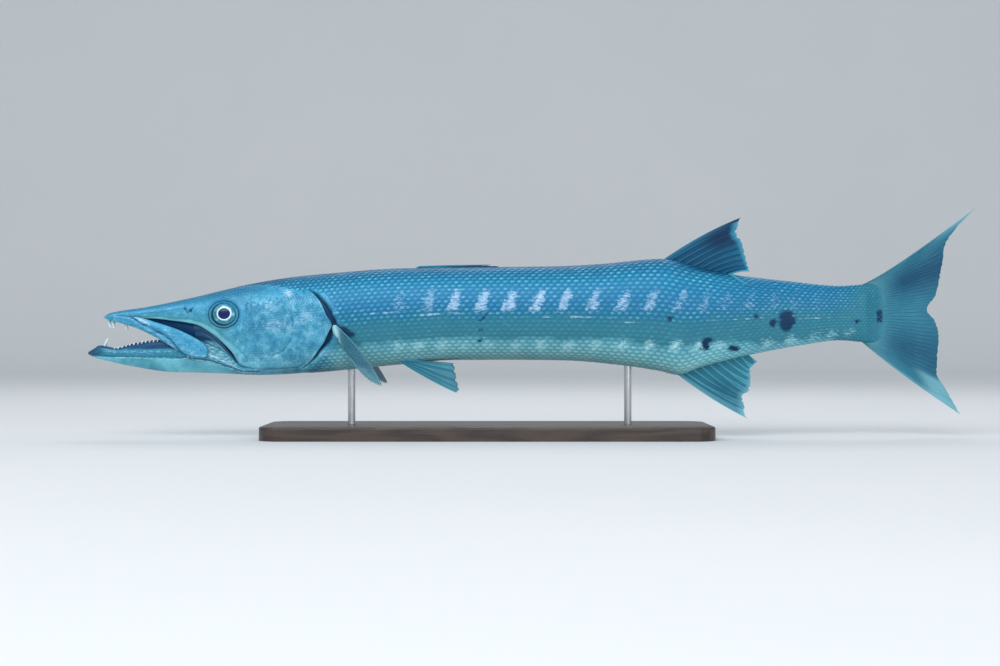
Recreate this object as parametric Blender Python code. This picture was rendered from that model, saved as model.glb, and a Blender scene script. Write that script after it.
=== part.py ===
"""A great barracuda as a life-size display model: a still fish with its mouth open, held over a flat base by two
short rods. Metres, +Z up. The fish looks along -X, its left side faces -Y, and the origin is under the middle of the
base. Lengths along the fish are shares of its standard length, counted from the tip of the upper jaw, and heights are
shares of it too, counted from the body's level axis."""

import math

import bmesh
import bpy
import numpy as np
from mathutils import Matrix, Vector
from mathutils.bvhtree import BVHTree

# Driving sizes
STANDARD_LENGTH = 1.036
BALANCE = 0.50
AXIS_HEIGHT = 0.1675
GAP = 0.0003
FIN_GAP = 0.0005
SWAY = 0.020
SWAY_START = 0.50

BASE_LENGTH = 0.60
BASE_WIDTH = 0.20
BASE_THICKNESS = 0.018
BASE_CORNER = 0.030
BASE_EDGE = 0.002
ROD_RADIUS = 0.005
ROD_FRONT = 0.323
ROD_REAR = 0.683

AROUND = 30
HEAD_END = 0.2535
HEAD_STATIONS = (
    0.0, 0.004, 0.010, 0.022, 0.040, 0.0613, 0.082, 0.100, 0.114, 0.126, 0.1378, 0.1482, 0.1565, 0.1630, 0.1695, 0.1773,
    0.1851, 0.2016, 0.220, 0.238, HEAD_END,
)
CUTS = (HEAD_END, 0.370, 0.600, 0.865, 0.992)
TRUNK_RINGS = (8, 8, 12, 6)

# Where along the fish, and how high, the back's outline runs
BACK = (
    (0.000, -0.0025), (0.010, 0.0015), (0.0613, 0.0098), (0.1173, 0.0215), (0.1786, 0.0359), (0.2477, 0.0476),
    (0.2947, 0.0522), (0.3859, 0.0587), (0.5163, 0.0606), (0.5945, 0.0617), (0.6467, 0.0645), (0.7288, 0.0714),
    (0.7731, 0.0609), (0.8201, 0.0511), (0.8957, 0.0424), (0.9622, 0.0366), (0.9935, 0.0385),
)
# The roof of the mouth, the cheek's lower edge, the throat and the belly
UNDERSIDE = (
    (0.000, -0.0072), (0.010, -0.0104), (0.0613, -0.0095), (0.0974, -0.0142), (0.1184, -0.0180), (0.1274, -0.0210),
    (0.1378, -0.0278), (0.1482, -0.0366), (0.1565, -0.0476), (0.1695, -0.0619), (0.1851, -0.0785), (0.2016, -0.0807),
    (0.2712, -0.0772), (0.3859, -0.0665), (0.4563, -0.0606), (0.5293, -0.0604), (0.6023, -0.0613), (0.6754, -0.0677),
    (0.7249, -0.0752), (0.7468, -0.0800), (0.7797, -0.0698), (0.8396, -0.0548), (0.9087, -0.0419), (0.9622, -0.0352),
    (0.9935, -0.0375),
)
HALF_WIDTH = (
    (0.000, 0.0030), (0.010, 0.0078), (0.0350, 0.0110), (0.0613, 0.0134), (0.0974, 0.0178), (0.1300, 0.0232),
    (0.1570, 0.0282), (0.2000, 0.0350), (0.2535, 0.0410), (0.3100, 0.0440), (0.4000, 0.0452), (0.5200, 0.0462),
    (0.6400, 0.0455), (0.7300, 0.0425), (0.8200, 0.0320), (0.9000, 0.0210), (0.9622, 0.0145), (0.9935, 0.0105),
)
WIDEST_LEVEL = (
    (0.000, -0.0050), (0.0613, -0.0020), (0.1173, -0.0040), (0.1570, -0.0100), (0.2000, -0.0180), (0.2535, -0.0150),
    (0.3500, -0.0060), (0.6000, 0.0010), (0.9935, 0.0010),
)
# The sides' squareness: 2 is an ellipse, more is boxier
SQUARENESS = ((0.000, 2.6), (0.100, 2.8), (0.180, 2.5), (0.300, 2.2), (0.600, 2.15), (0.9935, 2.2))
PALATE_VAULT = ((0.000, 0.0000), (0.020, 0.0028), (0.100, 0.0050), (0.130, 0.0040), (0.160, 0.0000))

# Lower jaw, with its tip ahead of the upper jaw's
JAW_RIM = (
    (-0.0201, -0.0515), (-0.0117, -0.0469), (-0.0043, -0.0429), (0.0039, -0.0443), (0.0183, -0.0467), (0.0361, -0.0437),
    (0.0535, -0.0405), (0.0730, -0.0382), (0.1056, -0.0365), (0.1186, -0.0352), (0.1291, -0.0363), (0.1382, -0.0395),
    (0.1482, -0.0440), (0.1565, -0.0480), (0.1695, -0.0580), (0.1775, -0.0660), (0.1840, -0.0700),
)
JAW_KEEL = (
    (-0.0201, -0.0528), (-0.0163, -0.0552), (0.000, -0.0606), (0.0495, -0.0711), (0.0887, -0.0763), (0.1330, -0.0773),
    (0.1840, -0.0797),
)
JAW_HALF = (
    (-0.0201, 0.0015), (-0.0117, 0.0060), (0.000, 0.0085), (0.0183, 0.0108), (0.0430, 0.0135), (0.0730, 0.0168),
    (0.1000, 0.0200), (0.1252, 0.0228), (0.1513, 0.0245), (0.1840, 0.0240),
)
JAW_WALL = 0.0045
JAW_LIP = 0.0011
JAW_FLOOR = 0.42

# The strap of bone along each side of the upper jaw, from near the snout's tip to its free, rounded end
STRAP = (
    (0.0156, -0.0066), (0.0430, -0.0111), (0.0730, -0.0215), (0.0978, -0.0326), (0.1121, -0.0404), (0.1252, -0.0463),
    (0.1369, -0.0521), (0.1395, -0.0534),
)
STRAP_HALF = (
    (0.0156, 0.0035), (0.0430, 0.0066), (0.0730, 0.0092), (0.0978, 0.0118), (0.1121, 0.0128), (0.1252, 0.0115),
    (0.1369, 0.0062), (0.1395, 0.0012),
)
STRAP_SIDE = (
    (0.0156, 0.0110), (0.0430, 0.0143), (0.0730, 0.0184), (0.0978, 0.0228), (0.1121, 0.0246), (0.1252, 0.0260),
    (0.1395, 0.0270),
)
STRAP_THICKNESS = 0.0046

EYE_PLACE = (0.1590, -0.0010)
EYE_RADII = (0.0172, 0.0156)
EYE_DOME = 0.0048
EYE_DEPTH = 0.0085
EYE_SUNK = 0.0016
ORBIT_RADII = (0.0208, 0.0180)
ORBIT_RIM = 0.0017

NOSTRILS = ((0.1085, 0.0065, 0.0016), (0.1165, 0.0040, 0.0022))
# The roof of the mouth hangs lower between the straps than the cheeks' edge does
PALATE = (
    (0.0300, -0.0105), (0.0430, -0.0125), (0.0730, -0.0215), (0.0978, -0.0318), (0.1121, -0.0388), (0.1252, -0.0440),
    (0.1400, -0.0480), (0.1560, -0.0500),
)
PALATE_WIDTH = 0.66
GULLET_PLACE = (0.1600, -0.0545)
GULLET_SIZE = (0.0220, 0.0115, 0.0075)

# The gill cover's free rear edge, from its top to the throat
GILL_EDGE = (
    (0.2673, 0.0306), (0.2777, 0.0235), (0.2875, 0.0110), (0.2940, -0.0033), (0.3009, -0.0159), (0.2970, -0.0230),
    (0.2907, -0.0365), (0.2836, -0.0463), (0.2700, -0.0626), (0.2600, -0.0695), (0.2550, -0.0735),
)
GILL_OUT = 0.0016
GILL_THICKNESS = 0.0055
GILL_SLIT = 0.0030

# How far the tail's flesh reaches into its fin, and the parting of its two lobes as a share of the fan
TAIL_FLESH = 0.034
TAIL_SPLIT = 0.0013
# The second dorsal fin's last ray, root and tip, and how far its middle stands off the skin
LAST_RAY = ((0.8150, 0.0520), (0.8480, 0.0345))
LAST_RAY_LIFT = 0.0020
LAST_RAY_RADIUS = 0.0014
# The fleshy lobe at the root of each pectoral fin, as a share of the length, and how far it swells
LOBE_HALF_LENGTH = 0.0050
LOBE_THICKNESS = 0.0034


def smooth(points):
    """A function through (place, value) points: a cubic between each pair that never overshoots them."""
    places, values = np.array(points, float).T
    slopes = np.diff(values) / np.diff(places)
    tangents = np.zeros_like(values)
    same = slopes[:-1] * slopes[1:] > 0
    total = np.where(same, slopes[:-1] + slopes[1:], 1.0)
    tangents[1:-1] = np.where(same, 2 * slopes[:-1] * slopes[1:] / total, 0.0)
    tangents[0], tangents[-1] = slopes[0], slopes[-1]

    def at(place):
        place = np.clip(place, places[0], places[-1])
        i = np.clip(np.searchsorted(places, place, side="right") - 1, 0, len(slopes) - 1)
        step = places[i + 1] - places[i]
        t = (place - places[i]) / step
        start = (1 + 2 * t) * (1 - t) ** 2 * values[i] + t * (1 - t) ** 2 * step * tangents[i]
        end = t * t * (3 - 2 * t) * values[i + 1] - t * t * (1 - t) * step * tangents[i + 1]
        return start + end

    return at


def ease(t):
    """0 before 0, 1 after 1, and a smooth step between."""
    t = np.clip(t, 0.0, 1.0)
    return t * t * (3 - 2 * t)


back, underside, half_width = smooth(BACK), smooth(UNDERSIDE), smooth(HALF_WIDTH)
widest_level, squareness, palate_vault = smooth(WIDEST_LEVEL), smooth(SQUARENESS), smooth(PALATE_VAULT)
jaw_rim, jaw_keel, jaw_half, palate = smooth(JAW_RIM), smooth(JAW_KEEL), smooth(JAW_HALF), smooth(PALATE)
strap_line, strap_half, strap_side = smooth(STRAP), smooth(STRAP_HALF), smooth(STRAP_SIDE)


def along(s):
    """X of a share s of the standard length, counted from the upper jaw's tip."""
    return (s - BALANCE) * STANDARD_LENGTH


def height(h):
    """Z of a share h of the standard length over the body's axis."""
    return AXIS_HEIGHT + h * STANDARD_LENGTH


def sway(s):
    """How far the body's middle plane bends aside at s."""
    return SWAY * (np.maximum(s - SWAY_START, 0.0) / (1 - SWAY_START)) ** 2


def skin(s, angle, out=0.0):
    """A point of the body's skin at s and an angle round it: 0 on the back, 90 degrees on the left, 180 on the belly.
    The section is a rounded oblong whose upper and lower halves have their own heights, and out moves it outwards."""
    s, angle = np.broadcast_arrays(np.asarray(s, float), np.asarray(angle, float))
    up, side = np.cos(angle), np.sin(angle)
    power = 2.0 / squareness(s)
    rise = np.sign(up) * np.abs(up) ** power
    reach = np.sign(side) * np.abs(side) ** power
    level = widest_level(s)
    tall = np.where(up > 0, back(s) - level, level - underside(s)) * STANDARD_LENGTH + out
    wide = half_width(s) * STANDARD_LENGTH + out
    vault = palate_vault(s) * STANDARD_LENGTH * np.maximum(-up, 0.0) ** 2
    return np.stack([along(s), sway(s) - wide * reach, height(level) + tall * rise + vault], axis=-1)


def angle_at(s, h):
    """The angle round the section at s where the skin's left side is at height h."""
    level = widest_level(s)
    tall = np.where(h > level, back(s) - level, level - underside(s))
    share = np.clip(np.abs(h - level) / tall, 0.0, 1.0) ** (squareness(s) / 2)
    angle = np.arccos(share)
    return np.where(h > level, angle, math.pi - angle)


def round_angles(count=AROUND):
    return np.arange(count) * 2 * math.pi / count


def material(name, colour, roughness, metallic=0.0):
    made = bpy.data.materials.new(name)
    made.use_nodes = True
    shader = made.node_tree.nodes["Principled BSDF"]
    shader.inputs["Base Color"].default_value = (*colour, 1.0)
    shader.inputs["Roughness"].default_value = roughness
    shader.inputs["Metallic"].default_value = metallic
    return made


def place_object(name, mesh, look):
    """A new object of the bmesh, its faces turned outwards and its round parts shaded smooth."""
    mesh.normal_update()
    bmesh.ops.recalc_face_normals(mesh, faces=mesh.faces)
    data = bpy.data.meshes.new(name)
    mesh.to_mesh(data)
    mesh.free()
    data.shade_smooth()
    data.set_sharp_from_angle(angle=math.radians(40))
    data.materials.append(look)
    made = bpy.data.objects.new(name, data)
    bpy.context.scene.collection.objects.link(made)
    return made


def loft(name, rings, look):
    """A closed solid through rings of equally many points, with a flat face over each end."""
    mesh = bmesh.new()
    rows = [[mesh.verts.new(point) for point in ring] for ring in rings]
    for first, second in zip(rows, rows[1:]):
        for i in range(len(first)):
            mesh.faces.new((first[i - 1], first[i], second[i], second[i - 1]))
    mesh.faces.new(rows[0])
    mesh.faces.new(rows[-1][::-1])
    return place_object(name, mesh, look)


def plate(name, middle, half, look):
    """A thin closed plate. middle is a grid of points on its middle sheet and half its half thickness there."""
    normal = np.cross(np.gradient(middle, axis=0), np.gradient(middle, axis=1))
    normal /= np.linalg.norm(normal, axis=-1, keepdims=True)
    aside = normal * half[..., None]
    return shell(name, middle + aside, middle - aside, look)


def shell(name, outer, inner, look):
    """A closed plate between two grids of points, both faces split into triangles along the same diagonals."""
    mesh = bmesh.new()
    rows, columns = outer.shape[:2]
    grids = [[[mesh.verts.new(g[i, j]) for j in range(columns)] for i in range(rows)] for g in (outer, inner)]
    for i in range(rows - 1):
        for j in range(columns - 1):
            for grid in grids:
                a, b, c, d = grid[i][j], grid[i][j + 1], grid[i + 1][j + 1], grid[i + 1][j]
                mesh.faces.new((a, b, c))
                mesh.faces.new((a, c, d))
    rim = [(0, j) for j in range(columns)] + [(i, columns - 1) for i in range(1, rows)]
    rim += [(rows - 1, j) for j in range(columns - 2, -1, -1)] + [(i, 0) for i in range(rows - 2, 0, -1)]
    for (i, j), (k, m) in zip(rim, rim[1:] + rim[:1]):
        a, b, c, d = grids[0][i][j], grids[0][k][m], grids[1][k][m], grids[1][i][j]
        mesh.faces.new((a, b, c))
        mesh.faces.new((a, c, d))
    return place_object(name, mesh, look)


def ellipsoid(name, centre, radii, look, segments=20, rings=12):
    mesh = bmesh.new()
    turned = Matrix.Rotation(math.pi / 2, 4, "X")
    grown = Matrix.Diagonal((*radii, 1.0))
    bmesh.ops.create_uvsphere(mesh, u_segments=segments, v_segments=rings, radius=1.0, matrix=turned)
    bmesh.ops.transform(mesh, matrix=Matrix.Translation(centre) @ grown, verts=mesh.verts)
    return place_object(name, mesh, look)


def spike(name, root, tip, radius, look, sides=6):
    """A tapered tooth or spine from root to tip, blunt at its very end."""
    root, tip = Vector(root), Vector(tip)
    lean = (tip - root).to_track_quat("Z", "Y").to_matrix().to_4x4()
    depth = (tip - root).length
    mesh = bmesh.new()
    bmesh.ops.create_cone(
        mesh, cap_ends=True, segments=sides, radius1=radius, radius2=radius * 0.15, depth=depth,
        matrix=Matrix.Translation((root + tip) / 2) @ lean,
    )
    return place_object(name, mesh, look)


def cut(target, cutter):
    """Subtracts the cutter from the target and takes the cutter away."""
    modifier = target.modifiers.new("cut", "BOOLEAN")
    modifier.operation = "DIFFERENCE"
    modifier.solver = "EXACT"
    modifier.object = cutter
    apply(target)
    bpy.data.objects.remove(cutter)


def fuse(target, pieces):
    """Joins the pieces to the target as one closed body."""
    group = bpy.data.collections.new("pieces")
    bpy.context.scene.collection.children.link(group)
    for piece in pieces:
        bpy.context.scene.collection.objects.unlink(piece)
        group.objects.link(piece)
    modifier = target.modifiers.new("fuse", "BOOLEAN")
    modifier.operation = "UNION"
    modifier.solver = "EXACT"
    modifier.operand_type = "COLLECTION"
    modifier.collection = group
    apply(target)
    for piece in pieces:
        bpy.data.objects.remove(piece)
    bpy.data.collections.remove(group)
    keep_largest(target)


def apply(target):
    """Bakes the target's modifiers into its mesh."""
    graph = bpy.context.evaluated_depsgraph_get()
    data = bpy.data.meshes.new_from_object(target.evaluated_get(graph))
    target.modifiers.clear()
    old, target.data = target.data, data
    bpy.data.meshes.remove(old)


def keep_largest(target):
    """Leaves only the largest closed surface of the target's mesh."""
    mesh = bmesh.new()
    mesh.from_mesh(target.data)
    left, shells = set(mesh.verts), []
    while left:
        front = [left.pop()]
        shell = set(front)
        while front:
            for edge in front.pop().link_edges:
                for vert in edge.verts:
                    if vert in left:
                        left.remove(vert)
                        shell.add(vert)
                        front.append(vert)
        shells.append(shell)
    largest = max(shells, key=len)
    bmesh.ops.delete(mesh, geom=[v for v in mesh.verts if v not in largest], context="VERTS")
    mesh.to_mesh(target.data)
    mesh.free()


def mirrored(points):
    """The same points on the other side of the fish's middle plane."""
    points = np.array(points, float)
    share = points[..., 0] / STANDARD_LENGTH + BALANCE
    points[..., 1] = 2 * sway(share) - points[..., 1]
    return points


def build_head(look, tooth):
    """Snout, roof of the mouth, cheeks and throat in one piece, open in front for the mouth."""
    head = loft("head", [skin(s, round_angles()) for s in HEAD_STATIONS], look)
    pieces, cutters = [build_palate(look)], []
    for side in (-1, 1):
        pieces.append(orbit_rim(head, side, look))
        cutters.append(eye_ball("socket", side, GAP, look))
        for s, h, radius in NOSTRILS:
            y = half_width(s) * STANDARD_LENGTH * 0.93
            cutters.append(ellipsoid("nostril", (along(s), side * y, height(h)), (radius, 0.004, radius), look, 8, 6))
    fuse(head, pieces + upper_teeth(tooth))
    for cutter in cutters:
        cut(head, cutter)
    x, z = along(GULLET_PLACE[0]), height(GULLET_PLACE[1])
    cut(head, ellipsoid("gullet", (x, 0.0, z), GULLET_SIZE, look, 14, 8))
    keep_largest(head)
    return head


def build_palate(look):
    """The roof of the mouth between the straps, narrower than the snout over it."""
    turn = round_angles(12)
    rings = []
    for s in (0.032, 0.048, 0.064, 0.080, 0.096, 0.112, 0.128, 0.142, 0.154):
        low, top = height(palate(s)), height(underside(s)) + 0.006
        wide = half_width(s) * STANDARD_LENGTH * PALATE_WIDTH
        y = wide * np.sign(np.sin(turn)) * np.abs(np.sin(turn)) ** 0.7
        z = (low + top) / 2 + (top - low) / 2 * np.sign(np.cos(turn)) * np.abs(np.cos(turn)) ** 0.7
        rings.append(np.stack([np.full_like(y, along(s)), y, z], axis=-1))
    return loft("palate", rings, look)


def eye_frame(side):
    """Where the eye sits on the skin, with the skin's own directions there: ahead, outwards and up."""
    s, angle = EYE_PLACE[0], float(angle_at(*EYE_PLACE))
    middle, step = skin(s, angle), 0.004
    ahead = skin(s + step, angle) - skin(s - step, angle)
    ahead[2] = 0.0
    ahead /= np.linalg.norm(ahead)
    rise = skin(s, angle - 0.05) - skin(s, angle + 0.05)
    out = np.cross(ahead, rise)
    out /= np.linalg.norm(out)
    out = out if out[1] < 0 else -out
    up = np.cross(ahead, out)
    up = up if up[2] > 0 else -up
    frame = np.array([middle, ahead, out, up])
    if side > 0:
        frame = frame * (1, -1, 1)
    return frame


def eye_ball(name, side, grown, look):
    """A lens: a low dome outside, a deeper one inside, on the oval of the eye's own edge."""
    middle, ahead, out, up = eye_frame(side)
    mesh = bmesh.new()
    turned = Matrix.Rotation(math.pi / 2, 4, "X")
    bmesh.ops.create_uvsphere(mesh, u_segments=28, v_segments=12, radius=1.0, matrix=turned)
    for vert in mesh.verts:
        x, y, z = vert.co
        depth = (EYE_DOME if y > 0 else EYE_DEPTH) + grown
        wide, tall = EYE_RADII[0] + grown, EYE_RADII[1] + grown
        vert.co = Vector(middle - out * EYE_SUNK + ahead * (x * wide) + out * (y * depth) + up * (z * tall))
    return place_object(name, mesh, look)


def orbit_rim(head, side, look):
    """A soft raised ring of skin round the eye, which follows the head's own surface."""
    middle, ahead, out, up = eye_frame(side)
    tree = BVHTree.FromObject(head, bpy.context.evaluated_depsgraph_get())
    count, sides = 28, 6
    mesh = bmesh.new()
    rows = []
    for i in range(count):
        turn = 2 * math.pi * i / count
        away = ahead * math.cos(turn) * ORBIT_RADII[0] + up * math.sin(turn) * ORBIT_RADII[1]
        hit = np.array(tree.ray_cast(Vector(middle + away + out * 0.03), Vector(-out))[0])
        radial = away / np.linalg.norm(away)
        row = []
        for j in range(sides):
            lean = 2 * math.pi * j / sides
            offset = radial * math.cos(lean) * ORBIT_RIM * 1.5 + out * math.sin(lean) * ORBIT_RIM
            row.append(mesh.verts.new(hit - out * ORBIT_RIM * 0.35 + offset))
        rows.append(row)
    for i in range(count):
        for j in range(sides):
            k, m = (i + 1) % count, (j + 1) % sides
            mesh.faces.new((rows[i][j], rows[k][j], rows[k][m], rows[i][m]))
    return place_object("orbit", mesh, look)


def upper_teeth(look):
    """The fangs at the snout's tip and the blades along the palate, each side of the middle."""
    made = []
    fangs = ((0.0070, 0.0055, 0.0088, 0.0017), (0.0130, 0.0072, 0.0092, 0.0017), (0.0290, 0.0080, 0.0105, 0.0018))
    blades = [(0.048 + 0.017 * i, 0.0085 + 0.0016 * i, 0.0062 - 0.0006 * i, 0.0015) for i in range(4)]
    for side in (-1, 1):
        for s, y, long, radius in (*fangs, *blades):
            root = (along(s), side * y, height(underside(s)) + 0.0035)
            tip = (along(s) + 0.0012, side * y, height(underside(s)) - long)
            made.append(spike("fang", root, tip, radius, look))
    return made


def build_strap(name, side, look, tooth):
    """One side's strap of the upper jaw: a flat rounded bar that widens to a paddle at its free end."""
    rings = []
    for s in np.array([0.0156, 0.024, 0.036, 0.050, 0.066, 0.082, 0.098, 0.112, 0.1215, 0.130, 0.1362, 0.1392]):
        slope = (strap_line(s + 0.002) - strap_line(s - 0.002)) / 0.004
        across = np.array([-slope, 0.0, 1.0]) / math.hypot(slope, 1.0)
        centre = np.array([along(s), side * strap_side(s) * STANDARD_LENGTH, height(strap_line(s))])
        turn = round_angles(12)
        rise = np.sign(np.cos(turn)) * np.abs(np.cos(turn)) ** 0.8
        reach = np.sign(np.sin(turn)) * np.abs(np.sin(turn)) ** 0.7
        tall = strap_half(s) * STANDARD_LENGTH
        wide = STRAP_THICKNESS / 2 * min(1.0, tall / 0.006)
        rings.append(centre + np.outer(rise * tall, across) + np.outer(reach * wide, (0.0, 1.0, 0.0)))
    strap = loft(name, rings, look)
    teeth = []
    for i in range(10):
        s = 0.038 + 0.0085 * i
        low = height(strap_line(s)) - strap_half(s) * STANDARD_LENGTH * 1.10
        long = 0.0032 - 0.0001 * i
        x, y = along(s) - 0.001, side * strap_side(s) * STANDARD_LENGTH
        teeth.append(spike("tooth", (x, y, low + 0.003), (x + 0.0006, y, low - long), 0.0011, tooth, 5))
    fuse(strap, teeth)
    return strap


def build_lower_jaw(look, tooth):
    """A trough with thick lips: a pointed chin in front, and a low wedge under the cheek behind."""
    rings = []
    stations = [-0.0198, -0.0150, -0.0090, -0.0030, 0.0045, 0.0130, 0.0250, 0.0400, 0.0570, 0.0760, 0.0950, 0.1120]
    stations += [0.1240, 0.1350, 0.1440, 0.1530, 0.1620, 0.1700, 0.1770, 0.1835]
    for s in stations:
        rim, keel, half = height(jaw_rim(s)), height(jaw_keel(s)), jaw_half(s) * STANDARD_LENGTH
        turn = np.linspace(0.0, math.pi, 17)
        lip = JAW_LIP * np.exp(-((np.minimum(turn, math.pi - turn) - 0.10) / 0.16) ** 2) * ease((half - 0.004) / 0.006)
        outside = np.stack([(half + lip) * np.cos(turn), rim - (rim - keel) * np.sin(turn) ** 0.75], axis=-1)
        hollow = ease((s + 0.004) / 0.012) * (1 - ease((s - 0.140) / 0.020))
        inner = max(half - JAW_WALL * (0.4 + 0.6 * hollow), half * 0.4)
        depth = max((rim - keel) * (1 - JAW_FLOOR) * hollow, 0.0)
        back_turn = np.linspace(math.pi, 0.0, 9)
        inside = np.stack([inner * np.cos(back_turn), rim + 0.0006 - depth * np.sin(back_turn) ** 0.6], axis=-1)
        section = np.concatenate([outside, inside])
        rings.append([(along(s), y, z) for y, z in section])
    jaw = loft("lower_jaw", rings, look)
    cheek = [skin(s, round_angles(), 2 * GAP) for s in HEAD_STATIONS if s > 0.12]
    cut(jaw, loft("cheek", cheek, look))
    teeth = [
        spike("fang", (along(0.001), 0.0012, height(-0.0470)), (along(0.0048), 0.0008, height(-0.0322)), 0.0024, tooth),
    ]
    for side in (-1, 1):
        for i in range(11):
            s = 0.020 + 0.0083 * i
            long = 0.0022 + 0.00020 * i
            y = side * (jaw_half(s) * STANDARD_LENGTH - JAW_WALL / 2)
            low = height(jaw_rim(s))
            teeth.append(spike("tooth", (along(s), y, low - 0.002), (along(s) + 0.0006, y, low + long), 0.0012, tooth, 5))
    fuse(jaw, teeth)
    return jaw


def build_tongue(look):
    """A slim tongue that lies on the floor of the lower jaw."""
    rings = []
    for t in np.linspace(0.0, 1.0, 8):
        s = 0.022 + 0.085 * t
        floor = height(jaw_keel(s) + (jaw_rim(s) - jaw_keel(s)) * JAW_FLOOR)
        size = math.sin(math.pi * min(0.06 + 0.80 * t, 0.5 + 0.3 * t))
        turn = round_angles(10)
        y = (0.0015 + 0.0045 * size) * np.sin(turn)
        z = floor + 0.0042 + (0.0006 + 0.0020 * size) * np.cos(turn)
        rings.append(np.stack([np.full_like(y, along(s)), y, z], axis=-1))
    return loft("tongue", rings, look)


def gill_angles():
    """The angles round the body of the points along the gill cover's rear edge, and that edge as a function."""
    angles = [float(angle_at(s, h)) for s, h in GILL_EDGE]
    return angles[0], angles[-1], smooth([(a, s) for a, (s, _) in zip(angles, GILL_EDGE)])


def build_gill_cover(name, side, look):
    """The large plate behind the cheek: its front edge meets the head, and its rear edge stands clear of the body."""
    top, low, edge = gill_angles()
    angle, t = np.meshgrid(np.linspace(top, low, 17), np.linspace(0.0, 1.0, 7), indexing="ij")
    start = HEAD_END + GAP / STANDARD_LENGTH
    s = start + (edge(angle) - start) * t
    out = GILL_OUT * ease(t * 2)
    end = np.minimum((angle - top) / 0.12, (low - angle) / 0.12)
    thick = GILL_THICKNESS * (1 - 0.75 * t ** 3) * (0.35 + 0.65 * ease(end))
    outer, inner = skin(s, angle, out), skin(s, angle, out - thick)
    if side > 0:
        outer, inner = mirrored(outer), mirrored(inner)
    return shell(name, outer, inner, look)


def gill_recess(side, look):
    """The space that the gill cover and the slit behind it take out of the body."""
    top, low, edge = gill_angles()
    rim = GILL_SLIT / 2 / (half_width(0.28) * STANDARD_LENGTH)
    angle, t = np.meshgrid(np.linspace(top - rim, low + rim, 17), np.linspace(0.0, 1.0, 7), indexing="ij")
    start = HEAD_END - 0.004
    s = start + (edge(np.clip(angle, top, low)) + GILL_SLIT / STANDARD_LENGTH - start) * t
    outer, inner = skin(s, angle, 0.006), skin(s, angle, -GILL_THICKNESS - 0.0010)
    if side > 0:
        outer, inner = mirrored(outer), mirrored(inner)
    return shell("recess", outer, inner, look)


def build_trunk(look):
    """The body behind the head, in four lengths with a hair's gap between them."""
    names = ("body_shoulder", "body_middle", "body_rear", "tail_stalk")
    made = []
    for name, start, end, count in zip(names, CUTS, CUTS[1:], TRUNK_RINGS):
        stations = np.linspace(start + GAP / STANDARD_LENGTH, end, count)
        made.append(loft(name, [skin(s, round_angles()) for s in stations], look))
    for side in (-1, 1):
        cut(made[0], gill_recess(side, look))
    return made


def fin_grid(roots, tips, bows, rows):
    """Points along each ray from its root to its tip: a line that bows by its own amount half way."""
    roots, tips, bows = (np.asarray(a, float) for a in (roots, tips, bows))
    u = np.linspace(0.0, 1.0, rows)[:, None, None]
    return roots + (tips - roots) * u + bows * (4 * u * (1 - u))


def ridged(rows, columns, root, tip, web=0.00032):
    """Half thicknesses of a fin with a ridge along every second column, which taper from root to tip."""
    u = np.linspace(0.0, 1.0, rows)[:, None]
    ray = root + (tip - root) * u ** 0.7
    skin_between = np.maximum(ray * 0.45, web)
    odd = (np.arange(columns) % 2)[None, :]
    return np.where(odd == 0, ray, skin_between)


def between(points, count):
    """The (s, h) outline points spread into count places at even steps of their order, by a smooth curve."""
    points = np.array(points, float)
    order = np.linspace(0.0, 1.0, len(points))
    t = np.linspace(0.0, 1.0, count)
    return np.stack([smooth(list(zip(order, column)))(t) for column in points.T], axis=-1)


def flat_points(outline):
    """Points of the middle plane from (s, h)."""
    s, h = outline[..., 0], outline[..., 1]
    return np.stack([along(s), sway(s), height(h)], axis=-1)


def seat(body, s, up):
    """Points of the body's middle line at the shares s, a hair over its back or under its belly."""
    tree = BVHTree.FromObject(body, bpy.context.evaluated_depsgraph_get())
    made = []
    for share in s:
        x, y = along(share), sway(share)
        hit = tree.ray_cast(Vector((x, y, AXIS_HEIGHT + up * 0.2)), Vector((0, 0, -up)))[0]
        made.append((x, y, hit.z + up * FIN_GAP))
    return np.array(made)


def build_second_dorsal(body, look):
    """The soft dorsal fin: ten rays that fan back, the last laid over the left shoulder of the back."""
    count = 19
    root_s = np.linspace(0.7300, 0.8180, count)
    roots = seat(body, root_s, 1)
    edge = ((0.8315, 0.1257), (0.8260, 0.1050), (0.8328, 0.0941), (0.8363, 0.0790), (0.8397, 0.0650), (0.8420, 0.0549))
    tips = flat_points(between(edge, count))
    tips[:, 1] -= 0.006 * np.linspace(0.0, 1.0, count) ** 3
    tips[1::2] = tips[1::2] + (roots[1::2] - tips[1::2]) * 0.03
    bows = np.zeros((count, 3))
    bows[:, 2] = np.linspace(0.0040, 0.0015, count)
    fin = plate("dorsal_fin_second", fin_grid(roots, tips, bows, 8), ridged(8, count, 0.0019, 0.0004), look)
    fuse(fin, [last_dorsal_ray(look)])
    return fin


def last_dorsal_ray(look):
    """The dorsal fin's last ray, which has slipped down over the left side of the back."""
    count = 8
    t = np.linspace(0.0, 1.0, count)
    s = LAST_RAY[0][0] + (LAST_RAY[1][0] - LAST_RAY[0][0]) * t
    low = float(angle_at(*LAST_RAY[1]))
    middle = skin(s, low * t ** 1.3, LAST_RAY_LIFT)
    radius = LAST_RAY_RADIUS * (1 - 0.6 * t)
    turn = round_angles(6)
    rings = []
    for point, wide in zip(middle, radius):
        ring = np.stack([np.zeros(6), wide * np.sin(turn), wide * np.cos(turn)], axis=-1)
        rings.append(point + ring)
    return loft("last_ray", rings, look)


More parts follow.
